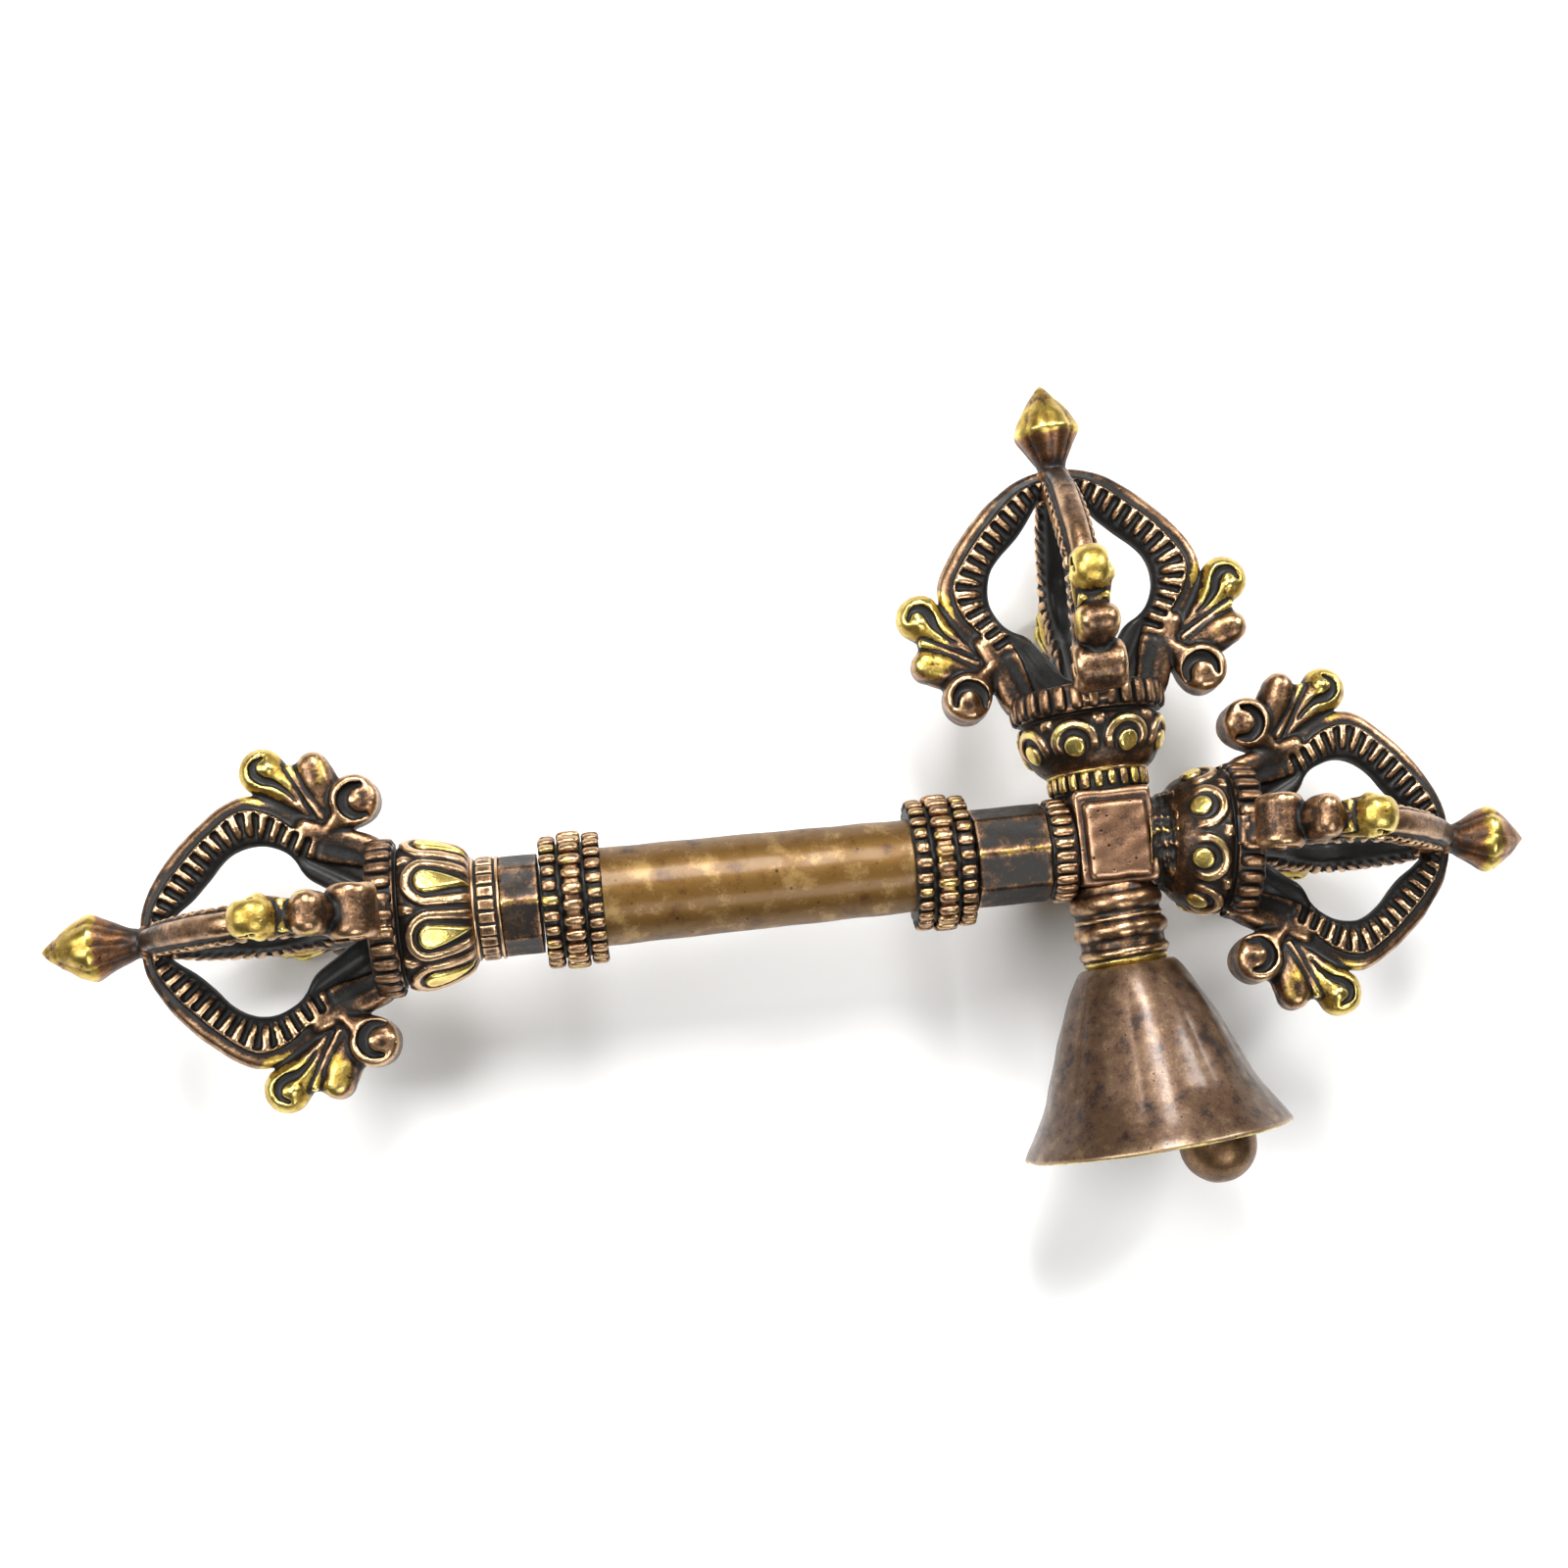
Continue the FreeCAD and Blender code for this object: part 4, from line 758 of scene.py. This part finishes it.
def make_cup(name, arm_frame, start, petals, kind, roll, socket, gilt_rim):
    """A lotus cup: petals in relief up to the height given, a groove, and the rim's core with its beads.

    A cup with a socket is open at the socket's floor, and the rim's core has no inner wall.
    """
    height = petals + 4.4
    side = bowed([(7.0, 0.0), (8.1, petals * 0.16), (9.05, petals * 0.42), (9.55, petals * 0.70),
            (9.55, petals * 0.90), (9.2, petals)], 10)
    corners = [(4.65, socket), (4.65, 0)] if socket else [(0, 0)]
    corners = np.vstack([corners, side, [(8.9, petals + 0.25), (9.75, petals + 0.6), (9.85, height - 0.7),
            (9.4, height - 0.15), (6.5, height), (0, height)]])

    def is_side(z, radius):
        return (radius > 6.9) & (z < petals - 0.05)

    def swell(angle, z, radius):
        rise = petal_relief(angle, z, radius, petals, kind)[0]
        return np.where(is_side(z, radius), rise * eased(z, 0.0, 0.8), 0.0)

    node = f"{name}_lotus_cup"
    points, faces = lathe(evened(corners, 0.21), 288, swell)
    points = points + normals_of(points, faces) * (ripple(points, 4.0, len(node)) * 0.05)[:, None]
    angle = np.arctan2(points[:, 1], points[:, 0])
    radius = np.hypot(points[:, 0], points[:, 1])
    z = points[:, 2]
    _, rim, drop, tip = petal_relief(angle, z, radius, petals, kind)
    on_side = is_side(z, radius)
    proud = np.where(on_side, 0.50 + 0.16 * rim + 0.20 * drop + 0.12 * tip, 0.38)
    fine = proudness(points, faces, 6, 30, (2.0, 0.6)) - 0.5
    rim_gilt = rim * gilt_rim * eased(z, petals * 0.35, petals * 0.75)
    place = arm_frame @ shifted(z=start) @ turned("z", roll)
    mesh = make_mesh(f"{name}_cup", points, faces, place,
            {"proud": proud + fine, "gilt": np.where(on_side, np.maximum(drop, rim_gilt), 0)})
    piece(f"{name}_petal_cup", mesh, CAST_BRONZE, [node])

    corners = [(9.2, petals + 0.75), (9.75, petals + 0.75), (9.8, height - 0.8), (9.2, height - 0.8)]
    ring = beaded(f"{name}_rim", lathe(evened(corners, 0.4), 64),
            [bead_row(28, 9.6, petals + 2.4, 1.9, 1.6, 3.2, 0.02, 0.06)], place, CAST_BRONZE,
            9.75, 10.8, 0.05)
    piece(f"{name}_cup_beads", ring, CAST_BRONZE, [])


# ---- the turned pieces ----


def turned_piece(name, corners, columns, place, material, nodes, bulge=None, step=0.3, rough=0.04,
        size=4.0, gilt=None, proud=None, gains=(3.0, 0.9), body="root"):
    """A turned piece with a slightly uneven surface."""
    points, faces = lathe(evened(corners, step), columns, bulge)
    wobble = ripple(points, size, len(name)) * rough
    points = points + normals_of(points, faces) * wobble[:, None]
    value = proudness(points, faces, gains=gains)
    if proud is not None:
        value = value + proud(points)
    shown = np.zeros(len(points)) if gilt is None else gilt(points)
    mesh = make_mesh(name, points, faces, place, {"proud": value, "gilt": shown})
    return piece(name, mesh, material, nodes, body)


def all_over(amount):
    """The same value on every point of a piece."""
    return lambda points: np.full(len(points), amount)


def from_corner(angle):
    """The angle from the nearest corner of an eight-sided shaft."""
    return (angle + math.pi / 8) % (math.pi / 4) - math.pi / 8


def octagon(angle, z, radius):
    """Pulls a round shaft in to eight flats with softened corners."""
    soft = 0.985
    flat = math.cos(math.pi / 8) / np.cos(math.pi / 8 - np.abs(from_corner(angle)))
    return np.where(radius > 5.5, radius * (np.minimum(flat, soft) / soft - 1), 0)


def make_handle():
    """The sleeve, the two eight-sided shafts and the lattice band. The inner walls of the sleeve and the
    band, which are out of sight, are left out."""
    # Corners are rubbed a little brighter all round. The corner facing up is made much brighter, and that
    # part is painted highlight.
    def corner_wear_and_top_highlight(points):
        angle = np.arctan2(points[:, 1], points[:, 0])
        front = np.exp(-(angle / 0.5) ** 2)
        return 0.14 * np.exp(-(from_corner(angle) / 0.10) ** 2) * (0.10 + 0.90 * front) - 0.07

    # The ridge facing up takes the yellow gilt colour: a painted highlight.
    def top_ridge_painted_highlight(points):
        angle = np.arctan2(points[:, 1], points[:, 0])
        return 0.42 * np.exp(-(angle / 0.12) ** 2)

    turned_piece("grip_tube", [(5.0, -2.0), (6.25, -2.0), (6.25, 0.0), (6.42, 18.0), (6.58, 40.2),
            (6.58, 42.2), (5.0, 42.2)], 160, HANDLE_ARM @ shifted(z=28.1), SLEEVE_BRASS,
            ["grip_sleeve"], step=0.45, rough=0.05, size=9.0)
    for side, start, length in (("inner", 9.0, 9.8), ("outer", 77.0, 5.2)):
        turned_piece(f"{side}_faceted_shaft", [(0, 0), (6.65, 0), (6.65, length), (0, length)], 192,
                HANDLE_ARM @ shifted(z=start), CAST_BRONZE, [f"{side}_shaft"],
                bulge=octagon, proud=corner_wear_and_top_highlight, gilt=top_ridge_painted_highlight, gains=(1.0, 0.3))

    def lattice(angle, z, radius):
        count, low, high, depth = 24, 0.55, 3.05, 0.38
        cells = np.abs(((angle / (2 * math.pi) * count) % 1.0) - 0.5) * 2 * math.pi * 6.95 / count
        bars = 1 - eased(cells, 0.1, 0.3)
        rails = 1 - eased(np.minimum(np.abs(z - low), np.abs(z - high)), 0.08, 0.28)
        inside = (z > low) & (z < high)
        return np.where(radius > 6.8, -depth * np.maximum(rails, bars * inside), 0)

    turned_piece("lattice_engraved_band", [(4.7, 0), (6.9, 0), (6.9, 3.6), (4.7, 3.6)], 360,
            HANDLE_ARM @ shifted(z=82.2), CAST_BRONZE, ["lattice_band"], bulge=lattice,
            step=0.16, rough=0.03, gains=(5.0, 1.0))


def make_finials():
    """The three pointed finials, with eight soft facets."""
    def facets(angle, z, radius):
        return np.where(radius > 2.2, radius * 0.05 * np.abs(np.cos(4 * angle)) - radius * 0.02, 0)

    for name, place, base, roll, waist, length in (("handle", HANDLE_ARM, 129.9, 0, 6.1, 12.85),
            ("top", TOP_ARM, 45.1, TOP_ROLL, 5.2, 12.0),
            ("right", RIGHT_ARM, 41.6, RIGHT_ROLL, 5.1, 10.4)):
        outline = bowed([(1.9, 0.0), (2.35, waist * 0.22), (3.6, waist * 0.66), (4.38, waist * 0.93),
                (4.4, waist * 1.08), (3.6, waist + (length - waist) * 0.32),
                (2.05, waist + (length - waist) * 0.66), (0.7, length - 0.55)], 8)
        corners = np.vstack([[(0, -4.6), (2.3, -4.6), (2.45, -0.9)], outline, [(0, length)]])

        def tip_gilt(points, waist=waist):
            return eased(points[:, 2] + 0.5 * ripple(points, 3.0, 6), waist - 1.6, waist + 0.2)

        def lift(points, waist=waist):
            return 0.10 * eased(points[:, 2], waist - 2.5, waist) - 0.05

        def waist_gilt(points, waist=waist):
            return np.exp(-((points[:, 2] - waist) / 1.3) ** 2)

        shown = waist_gilt if name == "right" else tip_gilt
        turned_piece(f"{name}_pointed_finial", corners, 128,
                place @ shifted(z=base) @ turned("z", roll + HALF_EIGHTH), WORN_BRASS,
                [f"{name}_finial"], bulge=facets, step=0.22, rough=0.08, size=3.0, gilt=shown,
                proud=lift, gains=(2.0, 0.5))


def make_block():
    """The block with its cushions, cut from one distance field."""
    step = 0.22
    low, high = np.array([-6.4, -6.6, -7.6]), np.array([6.4, 8.4, 7.6])
    X, Y, Z = np.meshgrid(*[np.arange(a, b, step) for a, b in zip(low, high)], indexing="ij")

    def box(x, y, z, hx, hy, hz, edge):
        u, v, w = np.abs(x) - hx + edge, np.abs(y) - hy + edge, np.abs(z) - hz + edge
        outer = np.sqrt(np.maximum(u, 0) ** 2 + np.maximum(v, 0) ** 2 + np.maximum(w, 0) ** 2)
        return np.minimum(np.maximum(np.maximum(u, v), w), 0) + outer - edge

    body = box(X, Y - 0.9, Z, 5.25, 6.45, 6.0, 0.8)
    frame_groove = np.abs(np.maximum(np.abs(X) - 4.45, np.abs(Y - 0.3) - 5.5))
    groove = np.hypot(frame_groove, np.maximum(5.8 - np.abs(Z), 0) * 2) - 0.33
    body = carve(body, groove, 0.35)
    cushion = box(X, Y - 0.3, np.abs(Z) - 5.4, 4.2, 5.2, 1.5, 0.8)
    body = melt(body, cushion, 0.2)
    points, quads = surface_net(body, low, step)
    points = blurred(points, neighbours([quads]), 2)
    points = points + normals_of(points, [quads]) * (ripple(points, 3.0, 5) * 0.08)[:, None]
    value = {"proud": proudness(points, [quads], 6, 60, (1.6, 0.3)) + 0.03, "gilt": np.zeros(len(points))}
    mesh = make_mesh("block", points, [quads], shifted(z=AXIS_HEIGHT), value)
    piece("cushioned_block", mesh, PITTED_BRONZE, ["centre_block"])


def make_block_rings():
    """The barred ring under the top cup and the rough brazed ring under the right cup."""
    corners = [(0, -0.4), (6.0, -0.35), (6.1, 0.2), (6.2, 1.6), (6.9, 2.5), (6.9, 2.7), (0, 2.7)]
    mesh = beaded("top_bar_ring", lathe(evened(corners, 0.4), 96),
            [bead_row(23, 6.15, 1.25, 1.4, 1.1, 2.1, 0.1, 0.15)], TOP_ARM, CAST_BRONZE, 6.2, 6.9, 0.5)
    piece("top_bar_ring", mesh, CAST_BRONZE, ["top_block_ring"])

    def blobs(angle, z, radius):
        spots = np.stack([radius * np.cos(angle), radius * np.sin(angle), z], -1).reshape(-1, 3)
        rough = ripple(spots, 2.2, 4) * 0.32 + ripple(spots, 0.9, 9) * 0.12
        return np.where(radius > 4.0, rough.reshape(angle.shape), 0)

    turned_piece("right_braze_fillet", [(0, -1.0), (6.6, -1.0), (6.3, -0.1), (5.9, 0.6), (6.2, 1.4),
            (6.9, 2.3), (7.2, 2.9), (0, 2.9)], 160, RIGHT_ARM, CAST_BRONZE,
            ["right_block_ring"], bulge=blobs, step=0.2, rough=0.03, size=1.2,
            gains=(2.0, 0.5), proud=all_over(-0.12), gilt=all_over(0.35))


def make_bell():
    """The ringed neck, the bell and the clapper's ball."""
    neck = [(0, -0.3), (5.3, -0.3), (5.6, 0.8)]
    for low, high, top, deep in ((0.9, 3.3, 6.32, 5.75), (3.9, 4.5, 6.0, 5.8), (4.6, 7.0, 6.42, 5.7),
            (8.2, 9.5, 6.12, 5.7)):
        middle, half = (low + high) / 2, (high - low) / 2
        for t in np.linspace(-1, 1, 9):
            neck.append((deep + (top - deep) * (1 - abs(t) ** 2.4), middle + half * t))
        neck.append((deep - 0.05, high + 0.15))
    neck += [(5.75, 9.9), (5.55, 10.3), (5.2, 10.7), (0, 10.7)]

    def seam(points):
        return 0.8 * eased(points[:, 2] + 0.5 * ripple(points, 2.5, 12), 9.1, 9.9)

    def rubbed(points):
        return 0.1 * ripple(points, 2.0, 3) + 0.05

    turned_piece("ringed_neck", neck, 160, BELL_ARM, CAST_BRONZE, ["bell_neck"], step=0.16,
            rough=0.02, size=3.5, gilt=seam, gains=(2.2, 0.9), proud=rubbed)

    crown = 1.35
    outer = bowed([(5.5, 0.0), (6.6, 0.35), (7.9, 2.3), (9.0, 4.5), (10.0, 6.6), (10.95, 8.7),
            (11.75, 10.8), (12.55, 12.9), (13.35, 15.0), (14.15, 17.1), (15.3, 19.2), (16.6, 21.3),
            (17.6, 22.8), (18.1, 23.7)], 6)
    inner = outer[::-1].copy()
    inner[:, 0] -= np.interp(inner[:, 1], [0, 4, 22, 23.7], [1.6, 1.35, 1.3, 1.0])
    inner[:, 1] = np.maximum(inner[:, 1], crown)
    inner = inner[np.abs(np.diff(inner[:, 1], append=-9)) > 1e-6]
    corners = np.vstack([[(0, 0.05), (4.6, 0.02)], outer, [(18.12, 23.95), (17.75, 24.05), (17.2, 24.0)],
            inner[1:], [(0, crown)]])

    def panels(angle, z, radius):
        depth = 0.10 * eased(z, 1.5, 8) * (1 - eased(z, 19, 23.5)) * (radius > 5)
        return depth * (np.abs(np.cos(4.5 * angle + 0.4)) - 0.64) * 2

    def lip(points):
        return 0.6 * eased(points[:, 2], 23.5, 23.95)

    def lip_wear(points):
        streak = ripple(points * [1, 1, 0.12], 3.0, 8)
        return 0.16 * eased(points[:, 2], 23.4, 23.95) + 0.05 * streak

    turned_piece("flared_bell", corners, 240, BELL_ARM @ shifted(z=10.5), BELL_BRONZE,
            ["bell_shell"], bulge=panels, step=0.4, rough=0.05, size=6.0, gilt=lip, proud=lip_wear,
            gains=(0.6, 0.25))

    radius = 5.3
    ball = [(max(radius * math.sin(t), 0), -radius * math.cos(t)) for t in np.linspace(0, math.pi, 40)]
    ball[0], ball[-1] = (0, -radius), (0, radius)
    turned_piece("clapper_cast_ball", ball, 96, CLAPPER_ARM @ shifted(z=22.6), BALL_BRONZE,
            ["clapper_ball"], step=0.3, rough=0.05, size=4.0, body="clapper", gains=(0.6, 0.2))


make_block()
make_block_rings()
make_collars()
make_handle()
make_cup("handle", HANDLE_ARM, 85.8, 9.3, "long", HALF_EIGHTH, 3.0, 0.15)
make_cup("top", TOP_ARM, 2.6, 7.1, "short", HALF_EIGHTH + TOP_ROLL, 0, 0.5)
make_cup("right", RIGHT_ARM, 2.4, 7.2, "short", HALF_EIGHTH + RIGHT_ROLL, 0, 0.3)
make_prongs()
make_finials()
make_bell()

for node in ("clapper_staple", "link_ring", "clapper_wire"):
    shown = frame["nodes"][node]
    shown.data.materials.clear()
    shown.data.materials.append(LOOP_WIRE)

# ---- floor, light and camera ----


def make_stage():
    """A plain pale floor and plain soft studio light."""
    half = 2000.0
    points = np.array([[-half, -half, 0], [half, -half, 0], [half, half, 0], [-half, half, 0]])
    paper = bpy.data.materials.new("matte_white_paper")
    paper.use_nodes = True
    shader = paper.node_tree.nodes["Principled BSDF"]
    shader.inputs["Base Color"].default_value = linear("#F7F7F6")
    shader.inputs["Roughness"].default_value = 0.9
    mesh = make_mesh("floor", points, [np.array([[0, 1, 2, 3]])], np.eye(4))
    mesh.materials.append(paper)
    placed("floor", mesh)
    world = bpy.data.worlds.new("studio")
    bpy.context.scene.world = world
    world.use_nodes = True
    direction = add(world.node_tree, "ShaderNodeTexCoord").outputs["Generated"]
    upward = add(world.node_tree, "ShaderNodeSeparateXYZ", {0: direction}).outputs["Z"]
    bright = add(world.node_tree, "ShaderNodeMapRange", {"Value": upward, "From Min": 0.0,
            "From Max": 0.9, "To Min": 1.0, "To Max": 0.60}).outputs[0]
    world.node_tree.links.new(bright, world.node_tree.nodes["Background"].inputs["Strength"])
    for name, spot, size, power in (("key", (-0.02, 0.55, 0.75), (0.20, 0.50), 8.0),
            ("left_box", (-0.60, 0.10, 0.72), (0.40, 0.7), 6.0),
            ("right_strip", (0.62, 0.42, 0.60), (0.12, 0.5), 4.5),
            ("low_fill", (0.15, -0.60, 0.70), (0.40, 0.4), 3.5)):
        lamp = bpy.data.lights.new(name, "AREA")
        lamp.shape = "RECTANGLE"
        lamp.size, lamp.size_y = size
        lamp.energy = power
        item = placed(name, lamp)
        item.location = spot
        item.rotation_mode = "QUATERNION"
        item.rotation_quaternion = Vector(spot).to_track_quat("Z", "Y")


def make_camera():
    """The camera, high over the piece and a little to the left of the block."""
    data = bpy.data.cameras.new("camera")
    data.sensor_width = 36.0
    data.lens = 57.38
    data.clip_start, data.clip_end = 0.01, 20.0
    item = placed("camera", data)
    place = shifted(-66.75 * MM, -28.10 * MM, (333.58 + AXIS_HEIGHT) * MM)
    look = turned("z", 5.63) @ turned("y", 4.034) @ turned("x", -6.975)
    item.matrix_world = Matrix((place @ look.T).tolist())
    bpy.context.scene.camera = item


make_stage()
make_camera()
bpy.context.scene.view_settings.view_transform = "Standard"
